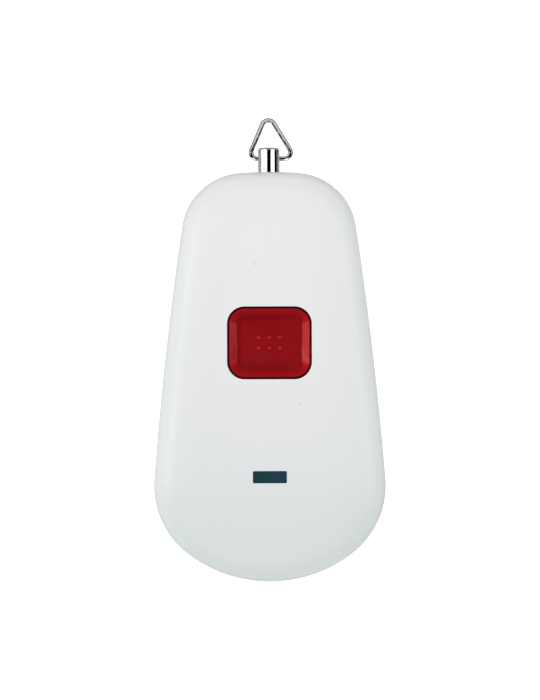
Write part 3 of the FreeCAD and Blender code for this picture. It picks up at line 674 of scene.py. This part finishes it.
def quarters(node, y):
    """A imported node's points in each quarter of the plan about a place of the middle line."""
    points = np.array([vertex.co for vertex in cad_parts[node].data.vertices])
    sides = [(side_x, side_y) for side_x in (-1, 1) for side_y in (-1, 1)]
    return [points[(points[:, 0] * side_x > 0) & ((points[:, 1] - y) * side_y > 0)] for side_x, side_y in sides]


def screw_places():
    """Where the four screws are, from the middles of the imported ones."""
    return [tuple((group.min(0) + group.max(0))[:2] / 2) for group in quarters("casing_screws", 0.0)]


def lead_feet():
    """Where the switch's four leads end, on the board."""
    feet = []
    for group in quarters("switch_leads", KEY_Y):
        out = group[np.abs(group[:, 0]).argmax()][0]
        feet.append((out, (group[:, 1].min() + group[:, 1].max()) / 2, group[:, 2].min()))
    return feet


SCREW_PLACES = screw_places()


def saddle_block(half, end, low, high):
    """A block from where the saddle of the post's head starts."""
    return brick_mesh((-half, SADDLE_START, low), (half, end, high))


def front_shell():
    """Front of the case: one skin round its margin, then what is moulded and cut in it."""
    groove = SEAM_HEIGHT + SEAM_HALF_GAP
    outer = [(SEAM_GROOVE, SEAM_HEIGHT), (SEAM_GROOVE, groove), (SEAM_LEAD, groove), (0.0, groove + SEAM_LEAD)]
    outer += skin_section(0.0)
    rebate, rebate_top = WALL / 2, SEAM_HEIGHT + LIP_HEIGHT + LIP_GAP
    inner = [(rebate, SEAM_HEIGHT), (rebate, rebate_top), (WALL, rebate_top)] + skin_section(WALL)
    section = outer[::-1] + inner
    shell = solid("front_shell", [rim_ring(*point) for point in section])
    inside_top = CASE_DEPTH - WALL / 2
    window_pad = (WINDOW[0] + 3.4 * MM, WINDOW[1] + 3.4 * MM, 1.9 * MM)
    additions = [
        block_mesh(WELL, KEY_Y, WELL_LOW, inside_top),
        block_mesh(window_pad, WINDOW_Y, WINDOW_SEAT, inside_top),
        saddle_block(SADDLE_HALF, SADDLE_END, SEAM_HEIGHT, SEAM_HEIGHT + SADDLE_HALF),
    ]
    shoulder, boss_top = BOARD_TOP + 0.1 * MM, CASE_DEPTH - WALL + 0.2 * MM
    boss = [(BOSS_NECK, BOARD_LOW), (BOSS_NECK, shoulder), (BOSS_RADIUS, shoulder), (BOSS_RADIUS, boss_top)]
    additions += [upright_mesh(x, y, boss) for x, y in SCREW_PLACES]
    joined(shell, "UNION", additions)
    cuts = [
        opening_cutter(),
        block_mesh(WINDOW, WINDOW_Y, WINDOW_SEAT - MM, CASE_DEPTH + MM),
        block_mesh(WELL_HOLLOW, KEY_Y, WELL_LOW - MM, STOP_HEIGHT),
        post_cutter(),
    ]
    way = SCREW_RADIUS + 0.02 * MM
    cuts += [upright_mesh(x, y, [(way, BOARD_LOW - MM), (way, 10.25 * MM)]) for x, y in SCREW_PLACES]
    joined(shell, "DIFFERENCE", cuts)
    return smoothed(shell)


def opening_cutter():
    """Tool for the key's opening, flared so that the rim comes out rounded."""
    rings = [box_ring(OPENING, KEY_Y, WELL_LOW - MM)]
    for flare, drop in quarter(OPENING_EDGE, 5)[:-1]:
        rings.append(box_ring(grow(OPENING, flare), KEY_Y, CASE_DEPTH - drop))
    hair = 0.0001 * MM
    rings.append(box_ring(grow(OPENING, OPENING_EDGE), KEY_Y, CASE_DEPTH + hair))
    rings.append(box_ring(grow(OPENING, 2 * OPENING_EDGE), KEY_Y, CASE_DEPTH + MM))
    return closed_mesh("opening", rings)


def post_cutter():
    """Tool for the post's bore and the pocket of its head."""
    pocket, start, end = POCKET
    profile = [(pocket, start), (pocket, end), (POST_BORE, end), (POST_BORE, TOP_END + MM)]
    return lathe_mesh(profile, SEAM_HEIGHT)


def rear_shell():
    """Back of the case: flat back, lip, screw bosses, cradle of the cell, half saddle."""
    edge, groove = REAR_EDGE_RADIUS, SEAM_HEIGHT - SEAM_HALF_GAP
    lip, lip_top = WALL / 2 + LIP_GAP, SEAM_HEIGHT + LIP_HEIGHT
    section = bow(edge, edge, edge, -math.pi / 2, 0.0, 12)
    section += [(0.0, groove - SEAM_LEAD), (SEAM_LEAD, groove), (SEAM_GROOVE, groove)]
    section += [(SEAM_GROOVE, SEAM_HEIGHT), (lip, SEAM_HEIGHT), (lip, lip_top), (WALL, lip_top)]
    section += bow(edge, edge, edge - WALL, 0.0, -math.pi / 2, 6)
    shell = solid("rear_shell", [rim_ring(*point) for point in section])
    floor = WALL / 2
    inner, outer, high = CRADLE
    cradle = [(inner, floor), (outer, floor), (outer, high), (inner, high), (inner, floor)]
    additions = [
        saddle_block(SADDLE_HALF, SADDLE_END, SEAM_HEIGHT - SADDLE_HALF, SEAM_HEIGHT),
        upright_mesh(0.0, CELL_Y, cradle, 96, False),
    ]
    boss = [(BOSS_RADIUS, floor), (BOSS_RADIUS, BOARD_LOW)]
    additions += [upright_mesh(x, y, boss) for x, y in SCREW_PLACES]
    joined(shell, "UNION", additions)
    reach, half, way_top = CLIP_WAY
    cuts = [
        saddle_block(SADDLE_HALF + LIP_GAP, TOP_END + MM, SEAM_HEIGHT, SEAM_HEIGHT + 3 * MM),
        post_cutter(),
        brick_mesh((-reach, CELL_Y - half, WALL), (reach, CELL_Y + half, way_top)),
    ]
    soft = 0.15 * MM
    sunk_hole = [
        (SINK_RADIUS + 2 * soft, -soft), (SINK_RADIUS + soft, 0.0), (SINK_RADIUS, soft),
        (SINK_RADIUS, SCREW_SEAT), (SCREW_WAY, SCREW_SEAT), (SCREW_WAY, BOARD_LOW + MM),
    ]
    cuts += [upright_mesh(x, y, sunk_hole) for x, y in SCREW_PLACES]
    joined(shell, "DIFFERENCE", cuts)
    return smoothed(shell)


def lerp_size(first, second, share):
    """A size between two sizes."""
    return tuple(a + (b - a) * share for a, b in zip(first, second))


def clamped(value):
    """A share kept between 0 and 1."""
    return min(1.0, max(0.0, value))


def dish_floor(y):
    """Height of the dish's floor, which is rolled about a line across the key."""
    return DISH_LEVEL + DISH_ROLL - math.sqrt(DISH_ROLL ** 2 - (y - KEY_Y) ** 2)


def dished(point, wall_height):
    """Height of the dish at a place: its border, which meets the floor softly at both ends."""
    x, y, _ = point
    floor = dish_floor(y)
    end_start, end_span, side_start, side_span = 3.4 * MM, 1.4 * MM, 4.6 * MM, 1.0 * MM
    towards_end = clamped((abs(y - KEY_Y) - end_start) / end_span)
    towards_side = clamped((abs(x) - side_start) / side_span)
    soft = (0.02 + 0.16 * towards_end * (1 - towards_side)) * MM
    gap = (floor - wall_height) / soft
    if abs(gap) > 30:
        return max(floor, wall_height)
    return wall_height + soft * math.log1p(math.exp(gap))


def key_cap():
    """Red key: flange, skirt, thin rim and a dish with a sloped border."""
    roof = DISH_LEVEL - KEY_ROOF
    rings = [box_ring(KEY_HOLLOW, KEY_Y, roof), box_ring(KEY_HOLLOW, KEY_Y, FLANGE_LOW)]
    rings += [box_ring(KEY_FLANGE, KEY_Y, FLANGE_LOW), box_ring(KEY_FLANGE, KEY_Y, FLANGE_TOP)]
    rings += [box_ring(KEY, KEY_Y, FLANGE_TOP)]
    for draw, drop in quarter(KEY_RIM_EDGE, 4):
        rings.append(box_ring(grow(KEY, -draw), KEY_Y, KEY_RIM_HEIGHT - drop))
    mouth, wall_steps = grow(KEY, -KEY_RIM_LAND), 16
    base_ring = box_ring(DISH_BASE, KEY_Y, 0.0)
    for step in range(wall_steps + 1):
        share = step / wall_steps
        ring = []
        for point, base in zip(box_ring(lerp_size(mouth, DISH_BASE, share), KEY_Y, 0.0), base_ring):
            wall = KEY_RIM_HEIGHT + (dish_floor(base[1]) - KEY_RIM_HEIGHT) * share
            ring.append((point[0], point[1], dished(point, wall)))
        rings.append(ring)
    centre, floor_steps, fall = (0.5 * MM, 0.4 * MM, 0.15 * MM), 22, 0.5 * MM
    for step in range(1, floor_steps + 1):
        ring = box_ring(lerp_size(DISH_BASE, centre, step / floor_steps), KEY_Y, 0.0)
        rings.append([(x, y, dished((x, y, z), DISH_LEVEL - fall * step)) for x, y, z in ring])
    cap = solid("key_cap", rings)
    stem_half, rib_half, stem_low, stem_top = 2.2 * MM, 0.45 * MM, 11.0 * MM, roof + 0.4 * MM
    ribs = []
    for half_x, half_y in ((stem_half, rib_half), (rib_half, stem_half)):
        ribs.append(brick_mesh((-half_x, KEY_Y - half_y, stem_low), (half_x, KEY_Y + half_y, stem_top)))
    joined(cap, "UNION", ribs + [touch_dots()])
    return smoothed(cap, 28.0)


def grown(name, tree, start, **inputs):
    """The mesh that a geometry tree makes from a start mesh and named inputs."""
    seed = new_object(name, start)
    modifier = seed.modifiers.new(name, "NODES")
    modifier.node_group = tree
    for item in tree.interface.items_tree:
        if item.in_out == "INPUT" and item.name in inputs:
            modifier[item.identifier] = inputs[item.name]
    baked(seed)
    mesh = seed.data
    bpy.data.objects.remove(seed)
    return mesh


def geometry_tree(name, **inputs):
    """A new geometry tree with named inputs: its group, its adder of nodes and its input wires."""
    group = bpy.data.node_groups.new(name, "GeometryNodeTree")
    group.interface.new_socket("Geometry", in_out="INPUT", socket_type="NodeSocketGeometry")
    for key, kind in inputs.items():
        group.interface.new_socket(key, in_out="INPUT", socket_type=kind)
    group.interface.new_socket("Geometry", in_out="OUTPUT", socket_type="NodeSocketGeometry")
    tree = Tree(group)
    entry = tree.node("NodeGroupInput")
    wires = {socket.name: Wire(tree, socket) for socket in entry.outputs if socket.name}
    return group, tree, wires


def finish_tree(tree, geometry, material):
    """Ends a geometry tree in plain mesh with a material."""
    real = tree.node("GeometryNodeRealizeInstances", "Geometry", Geometry=geometry)
    painted = tree.node("GeometryNodeSetMaterial", "Geometry", Geometry=real, Material=material)
    tree.node("NodeGroupOutput", None, Geometry=painted)


def dots_tree():
    """Round dots on the points of a grid."""
    number, count = "NodeSocketFloat", "NodeSocketInt"
    group, tree, wires = geometry_tree(
        "dots", Columns=count, Rows=count, Pitch_X=number, Pitch_Y=number, Ball=number,
    )
    grid = tree.node(
        "GeometryNodeMeshGrid", "Mesh",
        Size_X=(wires["Columns"] - 1) * wires["Pitch_X"], Size_Y=(wires["Rows"] - 1) * wires["Pitch_Y"],
        Vertices_X=wires["Columns"], Vertices_Y=wires["Rows"],
    )
    ball = tree.node("GeometryNodeMeshUVSphere", "Mesh", Segments=32, Rings=48, Radius=wires["Ball"])
    dots = tree.node("GeometryNodeInstanceOnPoints", "Instances", Points=grid, Instance=ball)
    finish_tree(tree, dots, RED)
    return group


def touch_dots():
    """Six low round dots, standing out of the floor of the dish."""
    ball = (DOT_RADIUS ** 2 + DOT_HEIGHT ** 2) / (2 * DOT_HEIGHT)
    pitch_x, pitch_y = DOT_PITCH
    start = bpy.data.meshes.new("dots_start")
    mesh = grown("dots", dots_tree(), start, Columns=3, Rows=2, Pitch_X=pitch_x, Pitch_Y=pitch_y, Ball=ball)
    top = DISH_LEVEL + DOT_HEIGHT
    for vertex in mesh.vertices:
        vertex.co += Vector((0.0, KEY_Y, top - ball))
    return tidy_mesh(mesh)


def window_pane():
    """Smoked window with a softened edge, a flange behind the front and a light pipe."""
    face, flange = grow(WINDOW, -WINDOW_GAP), grow(WINDOW, 0.9 * MM)
    pipe, pipe_low, flange_low = (4.4 * MM, 1.8 * MM, 0.1 * MM), 9.3 * MM, WINDOW_SEAT - 0.8 * MM
    levels = [
        (pipe, pipe_low), (pipe, flange_low), (flange, flange_low), (flange, WINDOW_SEAT), (face, WINDOW_SEAT),
    ]
    for draw, drop in quarter(WINDOW_EDGE, 4):
        width, length, corner = grow(face, -draw)
        levels.append(((width, length, max(corner, 0.05 * MM)), WINDOW_TOP - drop))
    rings = [box_ring(size, WINDOW_Y, height) for size, height in levels]
    return smoothed(solid("window_pane", rings))


def post_turning():
    """Turned post with a chamfered rim and an eased cross hole.

    A ring just under the rim keeps the rim's smooth shading off the post's side.
    """
    head, head_low, head_high = 2.7 * MM, 31.59 * MM, 32.99 * MM
    soft, rim = 0.05 * MM, POST_TOP - POST_EDGE
    profile = [
        (head - POST_EDGE, head_low), (head, head_low + POST_EDGE), (head, head_high), (POST_RADIUS, head_high),
        (POST_RADIUS, rim - 3 * soft), (POST_RADIUS, rim - soft), (POST_RADIUS - soft / 2, rim),
        (POST_RADIUS - POST_EDGE, POST_TOP - soft / 2), (POST_RADIUS - POST_EDGE - soft, POST_TOP),
    ]
    post = new_object("post_turning", lathe_mesh(profile, SEAM_HEIGHT, 96))
    reach, flare = 2 * POST_RADIUS, 0.12 * MM
    hole, mouth, neck = CROSS_HOLE_RADIUS, CROSS_HOLE_RADIUS + flare, POST_RADIUS - flare
    rings = []
    for across, radius in ((-reach, mouth), (-neck, hole), (neck, hole), (reach, mouth)):
        ring = round_ring(RING_AXIS_Y, SEAM_HEIGHT, radius, across, 40)
        rings.append([(x, y, z) for y, z, x in ring])
    joined(post, "DIFFERENCE", [closed_mesh("hole", rings)])
    return smoothed(post, 25.0)


def ring_leg(apex_x):
    """Centres of the two bends on the right of an apex at apex_x, and the angle of the leg's side."""
    low = np.array([RING_HALF - RING_CORNER, RING_AXIS_Y + RING_CORNER])
    high = np.array([apex_x, RING_TOP - RING_APEX])
    span = high - low
    length = float(np.hypot(*span))
    unit = span / length
    lean = (RING_CORNER - RING_APEX) / length
    outward = np.array([unit[1], -unit[0]]) * math.sqrt(1 - lean ** 2) + unit * lean
    return low, high, math.atan2(outward[1], outward[0])


def ring_path():
    """Centre line of the wire triangle, from its joint in the post round to the joint again."""
    low, high, tilt = ring_leg(RING_OFFSET)
    far_low, _, far_tilt = ring_leg(-RING_OFFSET)
    straight = RING_JOINT + 0.9 * MM
    points = [(RING_JOINT, RING_AXIS_Y), (straight, RING_AXIS_Y)]

    def bend(centre, radius, start, end, steps):
        for index in range(steps + 1):
            angle = start + (end - start) * index / steps
            points.append((centre[0] + radius * math.cos(angle), centre[1] + radius * math.sin(angle)))

    bend(low, RING_CORNER, -math.pi / 2, tilt, 16)
    bend(high, RING_APEX, tilt, math.pi - far_tilt, 18)
    bend(far_low * np.array([-1.0, 1.0]), RING_CORNER, math.pi - far_tilt, 3 * math.pi / 2, 16)
    points += [(-straight, RING_AXIS_Y), (-RING_JOINT, RING_AXIS_Y)]
    return [(x + RING_SHIFT, y) for x, y in points]


def ring_wire():
    """Triangle of round wire, swept along its centre line."""
    path = np.array(ring_path())
    steps = 28
    rings = []
    for index, point in enumerate(path):
        before = path[max(index - 1, 0)]
        after = path[min(index + 1, len(path) - 1)]
        along = (after - before) / np.hypot(*(after - before))
        if index in (0, len(path) - 1):
            along = np.array([1.0, 0.0])
        aside = np.array([along[1], -along[0]])
        ring = []
        for step in range(steps):
            angle = 2 * math.pi * step / steps
            flat = point + aside * RING_WIRE * math.cos(angle)
            ring.append((flat[0], flat[1], SEAM_HEIGHT + RING_WIRE * math.sin(angle)))
        rings.append(ring)
    return smoothed(solid("ring_wire", rings), 40.0)


def screw_mesh():
    """One pan-head screw about the origin, head down, with a cross recess and a real thread."""
    head_low, tip, point_length = 0.3 * MM, 9.65 * MM, 1.2 * MM
    pitch, core, point_share, ridge_half = 0.8 * MM, 0.72 * MM, 0.3, 0.3
    turn_steps, long_steps = 24, 96
    levels = [(SCREW_HEAD_RADIUS - drop, head_low + draw) for draw, drop in quarter(0.45 * MM, 5)]
    levels += [(SCREW_HEAD_RADIUS, SCREW_SEAT), (core, SCREW_SEAT)]
    rings = [round_ring(0.0, 0.0, radius, height, turn_steps) for radius, height in levels]
    for step in range(1, long_steps + 1):
        height = SCREW_SEAT + (tip - SCREW_SEAT) * step / long_steps
        point = min(1.0, (tip - height) / point_length)
        root = core * (point_share + (1 - point_share) * point)
        ring = []
        for index in range(turn_steps):
            angle = 2 * math.pi * index / turn_steps
            phase = (height / pitch - index / turn_steps) % 1.0
            ridge = max(0.0, 1 - abs(phase - 0.5) / ridge_half)
            radius = root + (SCREW_RADIUS - core) * ridge * point
            ring.append((radius * math.cos(angle), radius * math.sin(angle), height))
        rings.append(ring)
    screw = solid("screw", rings)
    span, wide, low, deep, narrowing = 1.05 * MM, 0.28 * MM, head_low - 0.2 * MM, 1.1 * MM, 0.75
    halves = ((span, wide), (wide, span))
    joined(screw, "DIFFERENCE", [brick_mesh((-x, -y, low), (x, y, deep), narrowing) for x, y in halves])
    return smoothed(screw, 35.0)


def repeats_tree():
    """One part set on every point of a start mesh."""
    group, tree, wires = geometry_tree("repeats", Part="NodeSocketObject", Finish="NodeSocketMaterial")
    whole = {"transform_space": "ORIGINAL"}
    part = tree.node("GeometryNodeObjectInfo", "Geometry", whole, Object=wires["Part"])
    points = tree.node("GeometryNodeMeshToPoints", "Points", Mesh=wires["Geometry"])
    copies = tree.node("GeometryNodeInstanceOnPoints", "Instances", Points=points, Instance=part)
    finish_tree(tree, copies, wires["Finish"])
    return group


def repeated(name, part, places, material):
    """A piece with one part at each place."""
    start = bpy.data.meshes.new(name)
    start.from_pydata(places, [], [])
    mesh = grown(name, REPEATS, start, Part=part, Finish=material)
    data = part.data
    bpy.data.objects.remove(part)
    bpy.data.meshes.remove(data)
    return new_object(name, mesh)


def solder_bead():
    """One small bead of solder, flat below."""
    wide, high, tip = 0.5 * MM, 0.22 * MM, 0.02 * MM
    angles = [math.pi / 2 * step / 5 for step in range(6)]
    levels = [(max(wide * math.cos(a), tip), high * math.sin(a)) for a in angles]
    return new_object("bead", upright_mesh(0.0, 0.0, levels, 12))


def soft_mat():
    """Silicone mat with soft corners: rim, sloping webs and the pressed top. Heights in mm."""
    rim = [(MAT_FOOT, 0.0), (MAT_FOOT, 0.7), (grow(MAT_FOOT, -0.1 * MM), 0.8)]
    webs = [
        ((13.0, 11.0, 1.7), 0.8), ((12.4, 10.4, 1.7), 1.0), ((9.6, 8.3, 1.7), 3.6),
        ((9.2, 7.9, 1.6), 3.9), ((8.8, 7.5, 1.5), 4.0), ((0.4, 0.3, 0.1), 4.0),
        ((0.4, 0.3, 0.1), 3.1), ((7.6, 6.4, 1.1), 3.1), ((8.0, 6.8, 1.1), 3.0), ((12.4, 10.4, 1.1), 0.0),
    ]
    levels = rim + [(tuple(side * MM for side in size), height) for size, height in webs]
    rings = [box_ring(size, KEY_Y, BOARD_TOP + height * MM) for size, height in levels]
    return smoothed(solid("soft_mat", rings + [rings[0]], False), 40.0)


def snap_dome():
    """Sprung sheet dome under the plunger, softly bent where its crown begins."""
    sheet = 0.1 * MM
    under = [(0.02, 0.916), (1.15, 0.692), (1.3, 0.645), (1.45, 0.563), (2.3, 0.0)]
    levels = [(radius * MM, DOME_LOW + height * MM) for radius, height in under]
    levels += [(radius, height + sheet) for radius, height in reversed(levels)]
    return smoothed(new_object("snap_dome", upright_mesh(0.0, KEY_Y, levels)), 40.0)


def pressed(piece):
    """Gives a piece a mesh of its own."""
    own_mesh(piece)


WHITE = glossy_white()
RED = tinted_red()
REPEATS = repeats_tree()

dress(front_shell(), "casing", "case_white", WHITE, "front_cover")
dress(rear_shell(), "casing", "case_white", WHITE, "rear_cover")
dress(key_cap(), "key", "key_red", RED, "red_key")
dress(window_pane(), "casing", "window_smoke", smoked_window(), "window_lens")
TURNED = bright_plate("turned_nickel", 0.78, (1.0, 14.0, 1.0))
DRAWN = bright_plate("drawn_nickel", 0.75, (3.0, 3.0, 3.0))
dress(post_turning(), "swivel", "bright_plate", TURNED, "swivel_post")
dress(ring_wire(), "ring", "bright_plate", DRAWN, "cord_ring")

ZINC = plain_metal("zinc_plate", (0.62, 0.62, 0.64), 0.28, (1.0, 1.0, 1.0))
TIN = plain_metal("tinned", (0.72, 0.72, 0.70), 0.35)
screws = repeated("screw_set", screw_mesh(), [(x, y, 0.0) for x, y in SCREW_PLACES], ZINC)
dress(screws, "casing", "screw_steel", ZINC, "casing_screws")

SILICONE = moulded("silicone", (0.30, 0.30, 0.31), 0.55)
pressed(dress(soft_mat(), "casing", "mat_silicone", SILICONE, "key_mat"))

beads = repeated("solder_beads", solder_bead(), lead_feet(), TIN)
dress(beads, "casing", "tinned_lead", TIN)

BLACK = moulded("moulded_black", (0.02, 0.02, 0.021), 0.5)
PLATE = plain_metal("stamped_plate", (0.70, 0.70, 0.70), 0.25)
pressed(dress(snap_dome(), "casing", "switch_plate", PLATE, "switch_dome"))

NODE_FINISHES = {
    "circuit_board": solder_mask(),
    "switch_base": BLACK,
    "switch_plunger": BLACK,
    "switch_cover": PLATE,
    "switch_leads": TIN,
    "coin_cell": plain_metal("cell_steel", (0.70, 0.70, 0.71), 0.22),
    "cell_contact": plain_metal("contact_steel", (0.66, 0.65, 0.62), 0.3),
    "cell_clip": plain_metal("clip_steel", (0.66, 0.65, 0.62), 0.3, (12.0, 1.0, 1.0)),
    "radio_chip": moulded("chip_black", (0.015, 0.015, 0.016), 0.45, 5000.0),
    "controller_chip": moulded("chip_grey", (0.022, 0.022, 0.024), 0.45, 5000.0),
    "controller_leads": TIN,
    "crystal_can": plain_metal("can_metal", (0.75, 0.72, 0.65), 0.2),
    "status_lamp": moulded("lamp_white", (0.80, 0.80, 0.76), 0.4),
    "aerial_loop": plain_metal("aerial_brass", (0.75, 0.58, 0.28), 0.25),
    "capacitors": ceramic("capacitor_tan", (0.42, 0.28, 0.16)),
    "resistors": ceramic("resistor_black", (0.03, 0.03, 0.035)),
}
for node, finish in NODE_FINISHES.items():
    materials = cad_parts[node].data.materials
    materials.clear()
    materials.append(finish)


class Sky(Tree):
    """The studio's dome, drawn in plan: x and y of the direction in which a ray leaves."""

    def __init__(self, world):
        world.use_nodes = True
        world.node_tree.nodes.clear()
        super().__init__(world.node_tree)
        self.x, self.y, self.z = (self.axis(name) for name in "XYZ")

    def card(self, x_range, y_range, glow, soft):
        """A reflector over a rectangle of the plan."""
        return inside(((self.x, x_range), (self.y, y_range)), soft) * glow


def inside(places, soft):
    """One where each place lies in its range."""
    mask = 1.0
    for place, (low, high) in places:
        mask = place.ramp(low - soft, low + soft) * mask
        mask = mask * (1 - place.ramp(high - soft, high + soft))
    return mask


def ray_kinds(tree):
    """Which kind of ray sees the surface: camera, glossy or transmission."""
    path = tree.node("ShaderNodeLightPath")
    kinds = ("Is Camera Ray", "Is Glossy Ray", "Is Transmission Ray")
    return [Wire(tree, path.outputs[kind]) for kind in kinds]


def stage_sheet(name, corners, fill):
    """A flat piece of the studio with a material that fill makes."""
    material = bpy.data.materials.new(name)
    material.use_nodes = True
    material.node_tree.nodes.clear()
    fill(Tree(material.node_tree))
    mesh = bpy.data.meshes.new(name)
    mesh.from_pydata(corners, [], [(0, 1, 2, 3)])
    mesh.materials.append(material)
    sheet = new_object(name, mesh)
    return sheet


def table_paint(tree):
    """The table: matt and pale, white to the camera, mirrored as grey with a dark rectangle."""
    camera_ray, glossy_ray, clear_ray = ray_kinds(tree)
    mirrored = glossy_ray + clear_ray
    across, along = tree.axis("X"), tree.axis("Y")
    fill = (1 - along.ramp(*DIM_FLOOR)) * GROUND_FILL
    glow = camera_ray * GROUND_GLOW + (1 - camera_ray) * fill
    matte = tree.node("ShaderNodeBsdfDiffuse", "BSDF", Color=(0.8, 0.8, 0.8, 1.0))
    light = tree.node("ShaderNodeEmission", "Emission", Strength=glow)
    table = tree.node("ShaderNodeAddShader", "Shader", Shader=matte, Shader_001=light)
    dark = inside(((across, DARK_FLOOR[0]), (along, DARK_FLOOR[1])), 0.002)
    image = tree.node("ShaderNodeEmission", "Emission", Strength=(1 - dark) * GROUND_MIRRORED)
    both = tree.node("ShaderNodeMixShader", "Shader", Fac=mirrored, Shader=table, Shader_001=image)
    tree.node("ShaderNodeOutputMaterial", None, Surface=both)


def ground():
    """The table, a hair under the case so that the two flat faces don't share a plane."""
    half, level = 3.0, -0.03 * MM
    corners = [(-half, -half, level), (half, -half, level), (half, half, level), (-half, half, level)]
    stage_sheet("ground", corners, table_paint)


def reflector(corner, far_corner, glow):
    """A sheet by the ring, met only by mirrored rays: pale in front alone, or black on both sides."""
    def paint(tree):
        back = tree.node("ShaderNodeNewGeometry", "Backfacing")
        light = tree.node("ShaderNodeEmission", "Emission", Strength=glow)
        clear = tree.node("ShaderNodeBsdfTransparent", "BSDF")
        share = back if glow else 0.0
        both = tree.node("ShaderNodeMixShader", "Shader", Fac=share, Shader=light, Shader_001=clear)
        tree.node("ShaderNodeOutputMaterial", None, Surface=both)

    (x0, y0, z0), (x1, y1, z1) = corner, far_corner
    if z0 == z1:
        corners = [(x0, y0, z0), (x0, y1, z0), (x1, y1, z0), (x1, y0, z0)]
    else:
        corners = [(x0, y0, z0), (x0, y0, z1), (x1, y0, z1), (x1, y0, z0)]
    sheet = stage_sheet("reflector", corners, paint)
    sheet.visible_camera = False
    sheet.visible_diffuse = False
    sheet.visible_shadow = False
    sheet.visible_transmission = False


def lamp(name, place, size, power, colour):
    """A soft lamp that faces the object and isn't mirrored in it."""
    data = bpy.data.lights.new(name, "AREA")
    data.shape = "RECTANGLE"
    data.size, data.size_y = size
    data.energy = power
    data.color = colour
    made = new_object(name, data)
    made.location = place
    made.rotation_euler = (-Vector(place)).to_track_quat("-Z", "Y").to_euler()
    made.visible_glossy = False
    made.visible_camera = False


def studio():
    """Lamps over the top end and on both sides, a soft sky, and what the shiny surfaces mirror."""
    lamp("top_light", (0.0, 0.05, 0.13), (0.1, 0.1), TOP_POWER, (1.0, 0.76, 0.86))
    lamp("left_light", (-0.45, 0.16, 0.3), (0.4, 0.4), LEFT_POWER, (1.0, 0.99, 0.985))
    lamp("right_light", (0.45, 0.0, 0.36), (0.4, 0.4), RIGHT_POWER, (0.985, 1.0, 0.995))
    world = bpy.data.worlds.new("studio")
    bpy.context.scene.world = world
    sky = Sky(world)
    mirrored = (1 - sky.z.ramp(*WALL_TOP)) * (1 - sky.x.ramp(*DARK_WALL))
    mirrored = mirrored * sky.y.ramp(*NEAR_WALL) * WALL_GLOW
    for card in CARDS:
        mirrored = mirrored + sky.card(*card)
    for sheet in SHEETS:
        reflector(*sheet)
    camera_ray, glossy_ray, clear_ray = ray_kinds(sky)
    seen = camera_ray + glossy_ray + clear_ray
    light = (1 - sky.y.ramp(0.2, 0.9) * SKY_LOSS) * SKY_LIGHT
    strength = camera_ray + (glossy_ray + clear_ray) * mirrored + (1 - seen) * light
    colour = sky.blend(seen, SKY_TINT, (1.0, 1.0, 1.0))
    back = sky.node("ShaderNodeBackground", "Background", Color=colour, Strength=strength)
    sky.node("ShaderNodeOutputWorld", None, Surface=back)


def camera():
    """Looks straight down, framed and turned a hair as the photograph is."""
    distance, frame_height = 0.75, 121.2 * MM
    aim = (0.09 * MM, 4.62 * MM)
    outline_level = 8.0 * MM
    roll = math.radians(-0.2)
    data = bpy.data.cameras.new("camera")
    data.sensor_fit = "VERTICAL"
    data.sensor_height = 24.0
    data.lens = data.sensor_height * distance / frame_height
    data.clip_start = 0.01
    made = new_object("camera", data)
    made.location = (*aim, outline_level + distance)
    made.rotation_euler = (0.0, 0.0, roll)
    bpy.context.scene.camera = made


ground()
studio()
camera()
bpy.context.scene.view_settings.view_transform = "Standard"
